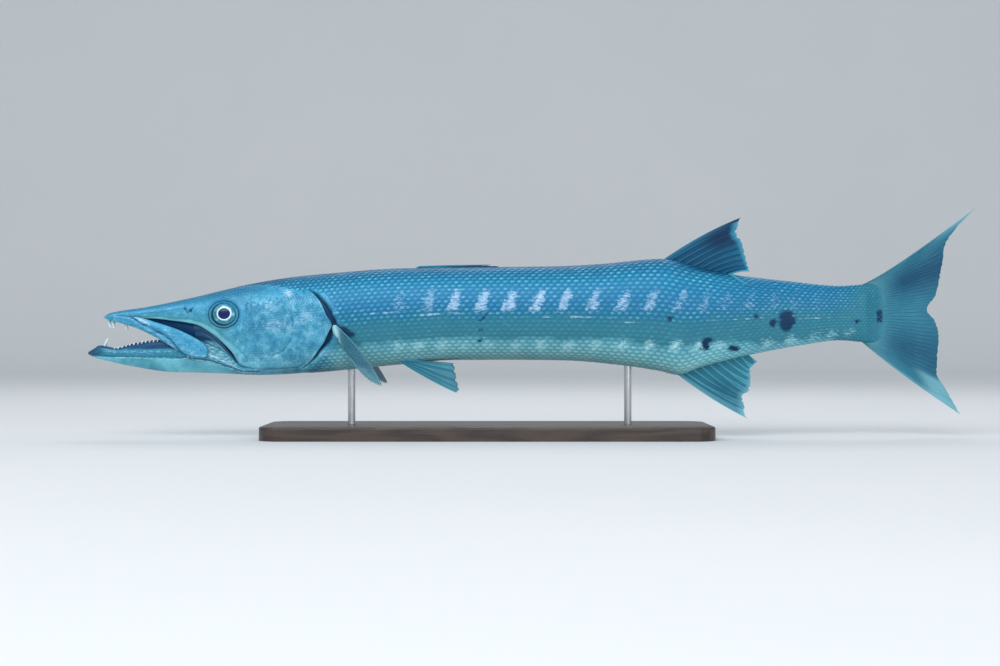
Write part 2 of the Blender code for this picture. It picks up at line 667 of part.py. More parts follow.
def build_anal_fin(body, look):
    count = 19
    root_s = np.linspace(0.7480, 0.8420, count)
    roots = seat(body, root_s, -1)
    edge = (
        (0.8415, -0.1379), (0.8345, -0.1140), (0.8330, -0.1080), (0.8438, -0.0985), (0.8447, -0.0821), (0.8438, -0.0730),
        (0.8530, -0.0628),
    )
    tips = flat_points(between(edge, count))
    tips[1::2] = tips[1::2] + (roots[1::2] - tips[1::2]) * 0.03
    bows = np.zeros((count, 3))
    bows[:, 2] = -np.linspace(0.0035, 0.0005, count)
    return plate("anal_fin", fin_grid(roots, tips, bows, 8), ridged(8, count, 0.0019, 0.0004), look)


def build_first_dorsal(body, look, spine_look):
    """The spiny dorsal fin, folded back into its groove: five spines and a low web."""
    start, end = 0.4070, 0.5140
    count = 12
    s = np.linspace(start, end, count)
    foot = seat(body, s, 1)
    tall = 0.0030 * np.sin(np.linspace(0.15, math.pi - 0.12, count)) ** 0.6
    grid = np.stack([foot + np.outer(tall * u, (0.0, 0.0, 1.0)) for u in (0.0, 0.5, 1.0)])
    half = np.array([[0.0015], [0.0011], [0.0006]]) * np.ones((3, count))
    web = plate("dorsal_fin_first", grid, half, look)
    spines = []
    for i in range(5):
        root_s = start + 0.003 + 0.0135 * i
        tip_s = min(root_s + 0.052 - 0.003 * i, end - 0.002)
        side = 0.0007 * (-1) ** i
        root = (along(root_s), side, height(back(root_s)) + 0.0019)
        tip = (along(tip_s), -side, height(back(tip_s)) + 0.0034)
        spines.append(spike("spine", root, tip, 0.0015, spine_look))
    fuse(web, spines)
    return web


def tail_margin(v):
    """The tail fin's hind edge at v from 0 at the upper tip, through the fork at 0.5, to 1 at the lower tip."""
    edge = (
        (1.1392, 0.1402), (1.1233, 0.1250), (1.1074, 0.1012), (1.0934, 0.0842), (1.0893, 0.0532), (1.0743, 0.0064),
        (1.0893, -0.0246), (1.0863, -0.0506), (1.0880, -0.0746), (1.1074, -0.1125), (1.1183, -0.1315),
    )
    order = (0.0, 0.06, 0.16, 0.26, 0.38, 0.5, 0.62, 0.72, 0.82, 0.94, 1.0)
    s = smooth([(o, p[0]) for o, p in zip(order, edge)])(v)
    h = smooth([(o, p[1]) for o, p in zip(order, edge)])(v)
    return np.stack([s, h], axis=-1)


def build_tail_lobe(name, first, last, look):
    """One lobe of the forked tail fin with its half of the fleshy root. first and last are its share of the fan of
    seventeen rays: 0 is the upper edge, 1 the lower."""
    count, rows = 17, 11
    v = np.linspace(first, last, count)
    start = CUTS[-1] + GAP / STANDARD_LENGTH
    top, low = float(back(start)), float(underside(start))
    root_h = (top + low) / 2 + (top - low) / 2 * np.cos(v * math.pi)
    roots = np.stack([np.full(count, start), root_h], axis=-1)
    tips = tail_margin(v)
    tips[1::2] -= (tips - roots)[1::2] * 0.012
    bow = (0.13 + 0.17 * ease((v - 0.3) / 0.4))[:, None]
    ahead = 0.22 + 0.10 * np.sin(v * math.pi)[:, None]
    bend = roots + np.concatenate([ahead, bow], axis=1) * (tips - roots)
    u = (np.linspace(0.0, 1.0, rows) ** 1.25)[:, None, None]
    outline = roots * (1 - u) ** 2 + bend * 2 * u * (1 - u) + tips * u ** 2
    from_root = (outline[..., 0] - start) * STANDARD_LENGTH
    share = np.abs(outline[..., 1] - (top + low) / 2) / ((top - low) / 2)
    flesh = half_width(start) * STANDARD_LENGTH * np.sqrt(np.clip(1 - share ** 2, 0.0, 1.0))
    flesh = flesh * np.clip(1 - from_root / TAIL_FLESH, 0.0, 1.0) ** 1.3
    aside = np.zeros((rows, count, 3))
    aside[..., 1] = np.maximum(ridged(rows, count, 0.0021, 0.00035), flesh)
    middle = flat_points(outline)
    return shell(name, middle - aside, middle + aside, look)


def build_pectoral(name, side, look):
    """The fan behind the gill cover, swung down from a fleshy lobe: its strong first ray is the hind edge."""
    count = 21
    v = np.linspace(0.0, 1.0, count)
    root_s = 0.3085 + 0.0030 * v
    root_h = -0.0172 - 0.0190 * v
    tip_s, tip_h = between(((0.3680, -0.0945), (0.3560, -0.0900), (0.3420, -0.0790), (0.3290, -0.0640)), count).T
    roots = skin(root_s, angle_at(root_s, root_h), 0.0026)
    wide = half_width(root_s) * STANDARD_LENGTH
    tips = np.stack([along(tip_s), -(wide + 0.0165 - 0.004 * v), height(tip_h)], axis=-1)
    tips[1::2] = tips[1::2] + (roots[1::2] - tips[1::2]) * 0.03
    bows = np.zeros((count, 3))
    bows[:, 0] = 0.0040 * (1 - v)
    bows[:, 2] = 0.0028 * (1 - v)
    middle = fin_grid(roots, tips, bows, 7)
    lobe = pectoral_lobe()
    if side > 0:
        middle, lobe = mirrored(middle), [mirrored(face) for face in lobe]
    fin = plate(name, middle, ridged(7, count, 0.0017, 0.0004), look)
    fuse(fin, [shell("lobe", *lobe, look)])
    return fin


def pectoral_lobe():
    """The outer and inner face of the pad of flesh that the pectoral fin's rays grow from."""
    t, w = np.meshgrid(np.linspace(-1.0, 1.0, 7), np.linspace(-1.0, 1.0, 5), indexing="ij")
    s = 0.3100 + LOBE_HALF_LENGTH * w * np.sqrt(1.05 - t ** 2) + 0.0015 * t
    angle = angle_at(s, -0.0267 - 0.0130 * t)
    swell = LOBE_THICKNESS * np.sqrt(np.clip(1 - w ** 2, 0.0, 1.0) * np.clip(1 - t ** 2, 0.0, 1.0))
    return skin(s, angle, FIN_GAP + 0.0004 + swell), skin(s, angle, FIN_GAP)


def build_pelvic(name, side, look):
    """The fan under the belly: a spine in front and five branched rays."""
    count = 13
    v = np.linspace(0.0, 1.0, count)
    root_s = 0.3880 + 0.0125 * v
    angle = math.radians(159) - 0.10 * v
    roots = skin(root_s, angle, 0.0018)
    edge = ((0.4615, -0.1036), (0.4630, -0.0985), (0.4600, -0.0880), (0.4575, -0.0730), (0.4550, -0.0650))
    tip_s, tip_h = between(edge, count).T
    tips = np.stack([along(tip_s), -(0.0240 - 0.002 * v), height(tip_h)], axis=-1)
    tips[1::2] = tips[1::2] + (roots[1::2] - tips[1::2]) * 0.03
    bows = np.zeros((count, 3))
    bows[:, 2] = -0.0022 * (1 - v)
    middle = fin_grid(roots, tips, bows, 7)
    if side > 0:
        middle = mirrored(middle)
    return plate(name, middle, ridged(7, count, 0.0016, 0.0004), look)


def build_base(look):
    """A flat plinth with rounded corners and eased edges."""
    mesh = bmesh.new()
    bmesh.ops.create_cube(mesh, size=1.0)
    size = Matrix.Diagonal((BASE_LENGTH, BASE_WIDTH, BASE_THICKNESS, 1.0))
    bmesh.ops.transform(mesh, matrix=Matrix.Translation((0, 0, BASE_THICKNESS / 2)) @ size, verts=mesh.verts)
    upright = [e for e in mesh.edges if abs(e.verts[0].co.z - e.verts[1].co.z) > BASE_THICKNESS / 2]
    bmesh.ops.bevel(mesh, geom=upright, offset=BASE_CORNER, segments=6, profile=0.5, affect="EDGES")
    top = [e for e in mesh.edges if all(v.co.z > BASE_THICKNESS - 1e-6 for v in e.verts)]
    bmesh.ops.bevel(mesh, geom=top, offset=BASE_EDGE, segments=2, profile=0.5, affect="EDGES")
    return place_object("stand_base", mesh, look)


def build_rod(name, s, carried, look):
    """A round rod from the base up to the belly, its end cut to the belly's curve a hair below it."""
    foot = BASE_THICKNESS + GAP
    head = height(underside(s)) + 0.004
    mesh = bmesh.new()
    bmesh.ops.create_cone(
        mesh, cap_ends=True, segments=24, radius1=ROD_RADIUS, radius2=ROD_RADIUS, depth=head - foot,
        matrix=Matrix.Translation((along(s), sway(s), (head + foot) / 2)),
    )
    rod = place_object(name, mesh, look)
    belly = bpy.data.objects.new("belly", carried.data.copy())
    bpy.context.scene.collection.objects.link(belly)
    belly.location.z = -GAP
    bpy.context.view_layer.update()
    cut(rod, belly)
    keep_largest(rod)
    return rod


def main():
    for old in list(bpy.data.objects):
        bpy.data.objects.remove(old)
    silver = material("silver_skin", (0.30, 0.55, 0.66), 0.35, 0.3)
    snout = material("snout_skin", (0.16, 0.46, 0.60), 0.40, 0.2)
    jaw_skin = material("jaw_skin", (0.10, 0.40, 0.48), 0.40, 0.1)
    fin_skin = material("fin_skin", (0.08, 0.28, 0.36), 0.45)
    bone = material("tooth_bone", (0.72, 0.86, 0.86), 0.30)
    eye_look = material("eye", (0.10, 0.30, 0.38), 0.12)
    flesh = material("mouth_flesh", (0.30, 0.30, 0.34), 0.50)
    wood = material("stand_wood", (0.05, 0.05, 0.055), 0.45)
    steel = material("stand_steel", (0.60, 0.61, 0.62), 0.30, 1.0)

    build_head(snout, bone)
    build_lower_jaw(jaw_skin, bone)
    build_tongue(flesh)
    for side, hand in ((-1, "left"), (1, "right")):
        build_strap("upper_jaw_" + hand, side, snout, bone)
        eye_ball("eye_" + hand, side, 0.0, eye_look)
        build_gill_cover("gill_cover_" + hand, side, silver)
        build_pectoral("pectoral_fin_" + hand, side, fin_skin)
        build_pelvic("pelvic_fin_" + hand, side, fin_skin)
    shoulder, middle, rear, _ = build_trunk(silver)
    build_first_dorsal(middle, fin_skin, bone)
    build_second_dorsal(rear, fin_skin)
    build_anal_fin(rear, fin_skin)
    build_tail_lobe("tail_fin_upper", 0.0, 0.5 - TAIL_SPLIT, fin_skin)
    build_tail_lobe("tail_fin_lower", 0.5 + TAIL_SPLIT, 1.0, fin_skin)
    build_base(wood)
    build_rod("stand_rod_front", ROD_FRONT, shoulder, steel)
    build_rod("stand_rod_rear", ROD_REAR, rear, steel)


main()
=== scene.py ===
# %% [markdown]
# # A great barracuda, life size, on a display stand
#
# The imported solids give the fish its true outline. This script dresses them: one skin, thousands of small
# solid scales, fins with their rays, teeth, glassy eyes, and a stand of wood and steel. Each step first
# says what the piece is on the real fish, and then why it is made the way it is.

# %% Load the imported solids
import math

import bpy
import numpy as np
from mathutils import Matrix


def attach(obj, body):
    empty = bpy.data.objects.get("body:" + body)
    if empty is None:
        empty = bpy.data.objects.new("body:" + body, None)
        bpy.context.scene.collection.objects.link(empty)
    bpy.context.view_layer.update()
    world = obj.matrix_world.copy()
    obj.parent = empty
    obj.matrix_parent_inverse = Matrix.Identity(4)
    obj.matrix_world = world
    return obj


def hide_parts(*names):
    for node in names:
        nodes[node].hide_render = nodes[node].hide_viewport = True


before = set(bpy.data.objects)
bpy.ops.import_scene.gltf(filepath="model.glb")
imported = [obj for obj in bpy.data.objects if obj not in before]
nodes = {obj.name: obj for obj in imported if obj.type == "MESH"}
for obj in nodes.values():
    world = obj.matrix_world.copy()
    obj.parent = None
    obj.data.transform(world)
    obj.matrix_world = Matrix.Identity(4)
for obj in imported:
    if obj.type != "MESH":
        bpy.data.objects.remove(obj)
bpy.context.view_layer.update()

# %% [markdown]
# ## Outlines as smooth functions
#
# A fish is drawn from a few outlines: its back, its underside and its half width, each a number that
# changes along the body. All are shares of the standard length, from the tip of the upper jaw to the last
# bone of the tail. A cubic that never overshoots its points joins them, so few points are enough.

# %% A smooth curve through points
STANDARD_LENGTH = 1.036
BALANCE = 0.50
AXIS_HEIGHT = 0.1675
SWAY, SWAY_START = 0.020, 0.50


def smooth(points):
    """A function through (place, value) points. Between two points it is the cubic whose slopes are the
    harmonic means of the neighbouring chords, which keeps it between its points."""
    places, values = np.array(points, float).T
    slopes = np.diff(values) / np.diff(places)
    same = slopes[:-1] * slopes[1:] > 0
    total = np.where(same, slopes[:-1] + slopes[1:], 1.0)
    inner = np.where(same, 2 * slopes[:-1] * slopes[1:] / total, 0.0)
    tangents = np.concatenate([slopes[:1], inner, slopes[-1:]])

    def at(place):
        place = np.clip(place, places[0], places[-1])
        i = np.clip(np.searchsorted(places, place, side="right") - 1, 0, len(slopes) - 1)
        step = places[i + 1] - places[i]
        t = (place - places[i]) / step
        start = (1 + 2 * t) * (1 - t) ** 2 * values[i] + t * (1 - t) ** 2 * step * tangents[i]
        end = t * t * (3 - 2 * t) * values[i + 1] - t * t * (1 - t) * step * tangents[i + 1]
        return start + end

    return at


def ease(t):
    """0 up to 0, 1 from 1, and the smooth step 3t^2 - 2t^3 between."""
    t = np.clip(t, 0.0, 1.0)
    return t * t * (3 - 2 * t)


def bump(value, middle, width):
    """A bell: 1 at the middle, falling off as exp of minus the squared distance over the squared width."""
    return np.exp(-((value - middle) / width) ** 2)


def between(points, t):
    """The outline through points, read at t from 0, its first point, to 1, its last."""
    points = np.array(points, float)
    order = np.linspace(0.0, 1.0, len(points))
    return np.stack([smooth(list(zip(order, column)))(t) for column in points.T], axis=-1)


# %% The body's outlines
back = smooth((
    (0.000, -0.0025), (0.010, 0.0015), (0.0613, 0.0098), (0.1173, 0.0215), (0.1786, 0.0359),
    (0.2477, 0.0476), (0.2947, 0.0522), (0.3859, 0.0587), (0.5163, 0.0606), (0.5945, 0.0617),
    (0.6467, 0.0645), (0.7288, 0.0714), (0.7731, 0.0609), (0.8201, 0.0511), (0.8957, 0.0424),
    (0.9622, 0.0366), (0.9935, 0.0385), (1.0060, 0.0390), (1.0160, 0.0345), (1.0280, 0.0260),
))
underside = smooth((
    (0.000, -0.0072), (0.010, -0.0104), (0.0613, -0.0095), (0.0974, -0.0142), (0.1184, -0.0180),
    (0.1274, -0.0210), (0.1378, -0.0278), (0.1482, -0.0366), (0.1565, -0.0476), (0.1695, -0.0619),
    (0.1851, -0.0785), (0.2016, -0.0807), (0.2712, -0.0772), (0.3859, -0.0665), (0.4563, -0.0606),
    (0.5293, -0.0604), (0.6023, -0.0613), (0.6754, -0.0677), (0.7249, -0.0752), (0.7468, -0.0800),
    (0.7797, -0.0698), (0.8396, -0.0548), (0.9087, -0.0419), (0.9622, -0.0352), (0.9935, -0.0375),
    (1.0060, -0.0380), (1.0160, -0.0335), (1.0280, -0.0250),
))
half_width = smooth((
    (0.000, 0.0030), (0.010, 0.0078), (0.0350, 0.0110), (0.0613, 0.0134), (0.0974, 0.0178),
    (0.1300, 0.0232), (0.1570, 0.0282), (0.2000, 0.0350), (0.2535, 0.0410), (0.3100, 0.0440),
    (0.4000, 0.0452), (0.5200, 0.0462), (0.6400, 0.0455), (0.7300, 0.0425), (0.8200, 0.0320),
    (0.9000, 0.0210), (0.9622, 0.0145), (0.9935, 0.0105), (1.0060, 0.0052), (1.0140, 0.0022),
    (1.0210, 0.0009), (1.0280, 0.0003),
))
widest_level = smooth((
    (0.000, -0.0050), (0.0613, -0.0020), (0.1173, -0.0040), (0.1570, -0.0100), (0.2000, -0.0180),
    (0.2535, -0.0150), (0.3500, -0.0060), (0.6000, 0.0010), (1.0280, 0.0005),
))
squareness = smooth(((0.000, 2.6), (0.100, 2.8), (0.180, 2.5), (0.300, 2.2), (0.600, 2.15), (1.0280, 2.2)))
palate = smooth((
    (0.0300, -0.0105), (0.0430, -0.0125), (0.0730, -0.0215), (0.0978, -0.0318), (0.1121, -0.0388),
    (0.1252, -0.0440), (0.1400, -0.0480), (0.1560, -0.0500),
))


# %% The skin as a function of a place along the body and an angle round it
def along(s):
    """X at a share s of the standard length."""
    return (s - BALANCE) * STANDARD_LENGTH


def share_of(x):
    """The share of the standard length at X."""
    return x / STANDARD_LENGTH + BALANCE


def height(h):
    """Z at a share h of the standard length over the body's level axis."""
    return AXIS_HEIGHT + h * STANDARD_LENGTH


def sway(s):
    """How far the body's middle plane bends aside."""
    return SWAY * (np.maximum(s - SWAY_START, 0.0) / (1 - SWAY_START)) ** 2


def skin(s, angle, out=0.0):
    """The body's skin at s and an angle round it: 0 on the back, 90 degrees on the left, 180 below. Each
    section is a superellipse, |y/a|^n + |z/b|^n = 1, whose upper and lower halves have their own b. Between
    the jaws its underside drops to the roof of the mouth. out moves the skin outwards."""
    s, angle = np.broadcast_arrays(np.asarray(s, float), np.asarray(angle, float))
    up, side = np.cos(angle), np.sin(angle)
    power = 2.0 / squareness(s)
    rise = np.sign(up) * np.abs(up) ** power
    reach = np.sign(side) * np.abs(side) ** power
    level = widest_level(s)
    tall = np.where(up > 0, back(s) - level, level - underside(s)) * STANDARD_LENGTH + out
    wide = half_width(s) * STANDARD_LENGTH + out
    drop = np.maximum(underside(s) - palate(s), 0.0) * ease((s - 0.020) / 0.02)
    drop = drop * (1 - ease((s - 0.150) / 0.02))
    inner = np.where(up < 0, 1 - ease((np.abs(reach) - 0.52) / 0.20), 0.0)
    z = height(level) + tall * rise - drop * inner * STANDARD_LENGTH
    return np.stack([along(s), sway(s) - wide * reach, z], axis=-1)


def angle_at(s, h):
    """The angle round the section at s where the skin's left side has the height h."""
    level = widest_level(s)
    tall = np.where(h > level, back(s) - level, level - underside(s))
    angle = np.arccos(np.clip(np.abs(h - level) / tall, 0.0, 1.0) ** (squareness(s) / 2))
    return np.where(h > level, angle, math.pi - angle)


def folded(angle):
    """The same angle on the left side, 0 on the back to pi below, for either side of the fish."""
    angle = np.mod(angle, 2 * math.pi)
    return np.minimum(angle, 2 * math.pi - angle)


print("body at half length:", np.round(skin(0.5, np.radians([0, 90, 180])), 4).tolist())

# %% [markdown]
# ## From tables of numbers to pieces
#
# Every new piece is a table with one row for each point: x, y and z, and then numbers that its finish
# needs, such as how dark the marking is there. Grids, tubes and plates only differ in how their points are
# joined into faces.

# %% Faces for grids, tubes and plates
def grid_faces(rows, columns, around=False):
    """Quads of a grid of points that are numbered row by row. around joins the last column to the first."""
    i = np.arange(rows - 1)[:, None]
    j = np.arange(columns if around else columns - 1)[None, :]
    m = (j + 1) % columns
    quads = np.stack(np.broadcast_arrays(i * columns + j, (i + 1) * columns + j, (i + 1) * columns + m,
                                         i * columns + m))
    return np.moveaxis(quads, 0, -1).reshape(-1, 4)


def tube(rings):
    """A closed tube: quads between its rings, and a fan of triangles from the middle of each end ring."""
    rows, columns = rings.shape[:2]
    ends = [rings[:1].mean(axis=1), rings[-1:].mean(axis=1)]
    j = np.arange(columns)
    after = (j + 1) % columns
    first, last = np.full(columns, rows * columns), np.full(columns, rows * columns + 1)
    hind = (rows - 1) * columns
    caps = np.concatenate([np.stack([j, after, first], 1), np.stack([hind + after, hind + j, last], 1)])
    return np.concatenate([rings.reshape(rows * columns, -1), *ends]), [grid_faces(rows, columns, True), caps]


def plate(front, behind):
    """A closed plate between two grids, joined by a wall of quads along their rim."""
    rows, columns = front.shape[:2]
    number = np.arange(rows * columns).reshape(rows, columns)
    rim = np.concatenate([number[0], number[1:, -1], number[-1, -2::-1], number[-2:0:-1, 0]])
    after, count = np.roll(rim, -1), rows * columns
    sheet = grid_faces(rows, columns)
    wall = np.stack([rim, after, after + count, rim + count], 1)
    points = np.concatenate([front.reshape(count, -1), behind.reshape(count, -1)])
    return points, [sheet, sheet[:, ::-1] + count, wall]


def with_values(points, *values):
    """The points with more columns, one for each of the values, which spread over the points' own shape."""
    shape = points.shape[:-1]
    return np.concatenate([points, *(np.broadcast_to(value, shape)[..., None] for value in values)], axis=-1)


def facing_out(part):
    """The part with its faces turned outwards: the volume they enclose, summed over corners, must be
    positive."""
    table, faces = part
    volume = 0.0
    for face in faces:
        for k in range(1, face.shape[1] - 1):
            a, b, c = (table[face[:, i], :3] for i in (0, k, k + 1))
            volume += np.einsum("ij,ij->", a, np.cross(b, c))
    return part if volume > 0 else (table, [face[:, ::-1] for face in faces])


# %% Join parts into one object
def make_piece(name, parts, values, look, stands_for=(), sharp=40):
    """One mesh object of all the parts. The columns after x, y and z become attributes with the names in
    values, except bake_u and bake_v, which become the UV map that a bake of the colours uses."""
    tables, faces, count = [], [], 0
    for table, part_faces in map(facing_out, parts):
        tables.append(table)
        faces += [face + count for face in part_faces]
        count += len(table)
    table = np.concatenate(tables)
    corners = np.concatenate([face.ravel() for face in faces]).astype(np.int32)
    sizes = np.concatenate([np.full(len(face), face.shape[1], np.int32) for face in faces])
    data = bpy.data.meshes.new(name)
    data.vertices.add(len(table))
    data.vertices.foreach_set("co", table[:, :3].astype(np.float32).ravel())
    data.loops.add(len(corners))
    data.loops.foreach_set("vertex_index", corners)
    data.polygons.add(len(sizes))
    data.polygons.foreach_set("loop_start", (np.cumsum(sizes) - sizes).astype(np.int32))
    for column, value in enumerate(values):
        if not value.startswith("bake"):
            layer = data.attributes.new(value, "FLOAT", "POINT")
            layer.data.foreach_set("value", table[:, 3 + column].astype(np.float32))
    data.update(calc_edges=True)
    data.validate()
    if "bake_u" in values:
        pick = 3 + values.index("bake_u")
        flat = table[corners, pick:pick + 2].astype(np.float32).ravel()
        data.uv_layers.new(name="OFBake").data.foreach_set("uv", flat)
    data.shade_smooth()
    data.set_sharp_from_angle(angle=math.radians(sharp))
    data.materials.append(look)
    made = bpy.data.objects.new(name, data)
    bpy.context.scene.collection.objects.link(made)
    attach(made, "root")
    if stands_for:
        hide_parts(*stands_for)
    print(f"{name}: {len(table)} points, {int((sizes - 2).sum())} triangles")
    return made

# %% [markdown]
# ## Finishes
#
# A finish is a small network of shader nodes. Helpers keep it readable: one adds a node, one mixes colours,
# one reads a number stored on the mesh. Markings that skin and scales share sit in one node group, so both
# always agree.

# %% Helpers for shader nodes
def linear(red, green, blue):
    """A screen colour, 0 to 255, as the linear colour that a shader works with."""
    share = np.array([red, green, blue]) / 255
    low, high = share / 12.92, ((share + 0.055) / 1.055) ** 2.4
    return (*np.where(share <= 0.04045, low, high).tolist(), 1.0)


def add(tree, kind, sockets=None, **settings):
    """A new shader node. sockets gives its inputs, each another node's output or a plain value."""
    made = tree.nodes.new("ShaderNode" + kind)
    for key, value in settings.items():
        setattr(made, key, value)
    for key, value in (sockets or {}).items():
        if isinstance(value, bpy.types.NodeSocket):
            tree.links.new(value, made.inputs[key])
        else:
            made.inputs[key].default_value = value
    return made


def mix(tree, factor, first, second, blend="MIX"):
    """The first colour at factor 0 and the second at factor 1."""
    made = add(tree, "Mix", {0: factor, 6: first, 7: second}, data_type="RGBA", blend_type=blend)
    return made.outputs[2]


def maths(tree, operation, first, second=0.0, clamp=False):
    return add(tree, "Math", {0: first, 1: second}, operation=operation, use_clamp=clamp).outputs[0]


def spread(tree, value, low, high, to_low=0.0, to_high=1.0):
    """The value moved from the range low to high into the range to_low to to_high, and held inside it."""
    made = add(tree, "MapRange", {0: value, 1: low, 2: high, 3: to_low, 4: to_high})
    return made.outputs[0]


def noise(tree, scale, detail=3.0, roughness=0.5, stretch=(1, 1, 1)):
    """Cloudy noise in the object's own metres. stretch makes it longer along an axis where it is below 1."""
    place = add(tree, "TexCoord").outputs["Object"]
    turned = add(tree, "Mapping", {0: place, 3: stretch}).outputs[0]
    return add(tree, "TexNoise",
               {"Vector": turned, "Scale": scale, "Detail": detail, "Roughness": roughness}).outputs[0]


def stored(tree, name):
    """A number stored on the mesh under this name."""
    return add(tree, "Attribute", attribute_name=name).outputs["Fac"]


def ramp(tree, value, stops):
    """Colours that follow a value through stops of (place, colour)."""
    made = add(tree, "ValToRGB", {0: value})
    marks = made.color_ramp.elements
    marks[0].position, marks[0].color = stops[0][0], linear(*stops[0][1])
    marks[1].position, marks[1].color = stops[-1][0], linear(*stops[-1][1])
    for place, colour in stops[1:-1]:
        marks.new(place).color = linear(*colour)
    return made.outputs[0]


def levels(tree, value, stops):
    """A number that follows a value through stops of (place, number)."""
    made = add(tree, "ValToRGB", {0: value})
    marks = made.color_ramp.elements
    marks[0].position, marks[1].position = stops[0][0], stops[-1][0]
    marks[0].color, marks[1].color = (*(stops[0][1],) * 3, 1.0), (*(stops[-1][1],) * 3, 1.0)
    for place, number in stops[1:-1]:
        marks.new(place).color = (*(number,) * 3, 1.0)
    return made.outputs[0]


def raised(tree, heights, distance):
    """A normal that tilts as if the surface rose by heights times the distance."""
    return add(tree, "Bump", {"Height": heights, "Distance": distance}).outputs[0]


def new_look(name, **plain):
    """A material with its Principled shader, whose constant values are set on its own sockets."""
    look = bpy.data.materials.new(name)
    look.use_nodes = True
    shader = look.node_tree.nodes["Principled BSDF"]
    for key, value in plain.items():
        shader.inputs[key.replace("_", " ")].default_value = value
    return look, look.node_tree, shader


def feed(tree, shader, **links):
    """Links outputs to the shader's inputs of those names."""
    for key, output in links.items():
        tree.links.new(output, shader.inputs[key.replace("_", " ")])


# %% A node group for the fish's colours
def new_group(name, inputs, outputs):
    """An empty node group with named inputs, each (name, kind, value), and outputs, each (name, kind)."""
    tree = bpy.data.node_groups.new(name, "ShaderNodeTree")
    for label, kind, value in inputs:
        socket = tree.interface.new_socket(label, in_out="INPUT", socket_type="NodeSocket" + kind)
        socket.default_value = value
    for label, kind in outputs:
        tree.interface.new_socket(label, in_out="OUTPUT", socket_type="NodeSocket" + kind)
    return tree, tree.nodes.new("NodeGroupInput").outputs, tree.nodes.new("NodeGroupOutput").inputs


# The belly's pale colour is the fish's own countershading, made paler still as painted light against the
# shade that falls on its downward face.
BACK_TO_BELLY = (
    (0.00, (176, 240, 244)), (0.085, (150, 228, 236)), (0.20, (110, 190, 206)), (0.26, (54, 130, 150)),
    (0.43, (40, 120, 142)), (0.50, (28, 122, 156)), (0.60, (20, 118, 164)), (0.74, (26, 128, 172)),
    (0.85, (32, 142, 184)), (1.00, (22, 112, 158)),
)
# How strongly the painted glints and the painted rim shade of the scales show at each level.
GLINT_AND_RIM_STRENGTH = (
    (0.00, 0.60), (0.10, 0.90), (0.21, 0.75), (0.27, 0.22), (0.42, 0.22), (0.50, 0.80), (0.62, 0.65),
    (0.76, 0.70), (0.86, 1.00), (1.00, 0.90),
)


def fish_colours():
    """Level runs from 0 at the belly to 1 on the back. Pale and Dark are the bars and spots, and also the
    painted highlights and painted shade that some pieces store in them. Silver is the cheek, and Flesh the
    inside of the mouth, painted dark blue as the shade that fills it. The glint input is a painted highlight
    on the middle of a scale or a fine skin cell, and Rim is painted shade at a scale's edge: both show
    strongly on the back, weakly in the dark band. Streaks break up the edges of the pale marks and vary the
    glints."""
    tree, given, result = new_group(
        "fish_colours",
        [(label, "Float", 0.0) for label in ("Level", "Pale", "Dark", "Silver", "Flesh", "PaintedGlint", "Rim")],
        [("Colour", "Color"), ("Gloss", "Float")],
    )
    cloud, streak = noise(tree, 38.0, 4.0), noise(tree, 480.0, 3.0, 0.62, (0.36, 1.0, 1.0))
    drift = maths(tree, "ADD", given["Level"], spread(tree, cloud, 0.3, 0.7, -0.030, 0.030))
    colour = ramp(tree, drift, BACK_TO_BELLY)
    cheek = ramp(tree, noise(tree, 75.0, 6.0, 0.65), (
        (0.34, (50, 128, 168)), (0.47, (66, 152, 188)), (0.58, (96, 180, 210)), (0.70, (150, 190, 222)),
    ))
    colour = mix(tree, given["Silver"], colour, cheek)
    contrast = levels(tree, drift, GLINT_AND_RIM_STRENGTH)
    # Painted highlight: the glint input, broken by streaks and weighted by level, is screened on as a bright
    # cyan glint.
    lit = maths(tree, "MULTIPLY", given["PaintedGlint"], spread(tree, streak, 0.36, 0.62, 0.25, 1.0))
    lit = maths(tree, "MULTIPLY", maths(tree, "MULTIPLY", lit, contrast), 0.85)
    colour = mix(tree, lit, colour, linear(140, 220, 244), "SCREEN")
    # Painted shade at each scale's edge, weighted by level.
    colour = mix(tree, maths(tree, "MULTIPLY", given["Rim"], contrast), colour, linear(14, 66, 106))
    ragged = maths(tree, "ADD", given["Pale"], spread(tree, streak, 0.3, 0.7, -0.42, 0.42))
    pale = mix(tree, spread(tree, given["Level"], 0.30, 0.45), linear(184, 236, 244), linear(178, 208, 236))
    colour = mix(tree, spread(tree, ragged, 0.30, 1.20, 0.0, 0.95), colour, pale)
    colour = mix(tree, given["Dark"], colour, linear(0, 50, 86))
    # The inside of the mouth is painted dark blue, as the shade that fills it.
    mouth_shade = mix(tree, noise(tree, 120.0), linear(0, 34, 80), linear(12, 68, 112))
    tree.links.new(mix(tree, given["Flesh"], colour, mouth_shade), result["Colour"])
    shine = maths(tree, "SUBTRACT", 0.48, maths(tree, "MULTIPLY", given["Silver"], 0.08))
    tree.links.new(maths(tree, "ADD", shine, spread(tree, cloud, 0.3, 0.7, -0.07, 0.07)), result["Gloss"])
    return tree


COLOURS = fish_colours()
MARKS = ("level", "pale", "dark", "silver", "flesh")


def painted(tree, painted_glint, rim=None):
    """The group of fish colours, reading the numbers stored on the mesh."""
    group = tree.nodes.new("ShaderNodeGroup")
    group.node_tree = COLOURS
    for name in MARKS:
        tree.links.new(stored(tree, name), group.inputs[name.capitalize()])
    # The painted highlight and the painted rim shade go into the group.
    tree.links.new(painted_glint, group.inputs["PaintedGlint"])
    if rim:
        tree.links.new(rim, group.inputs["Rim"])
    return group.outputs


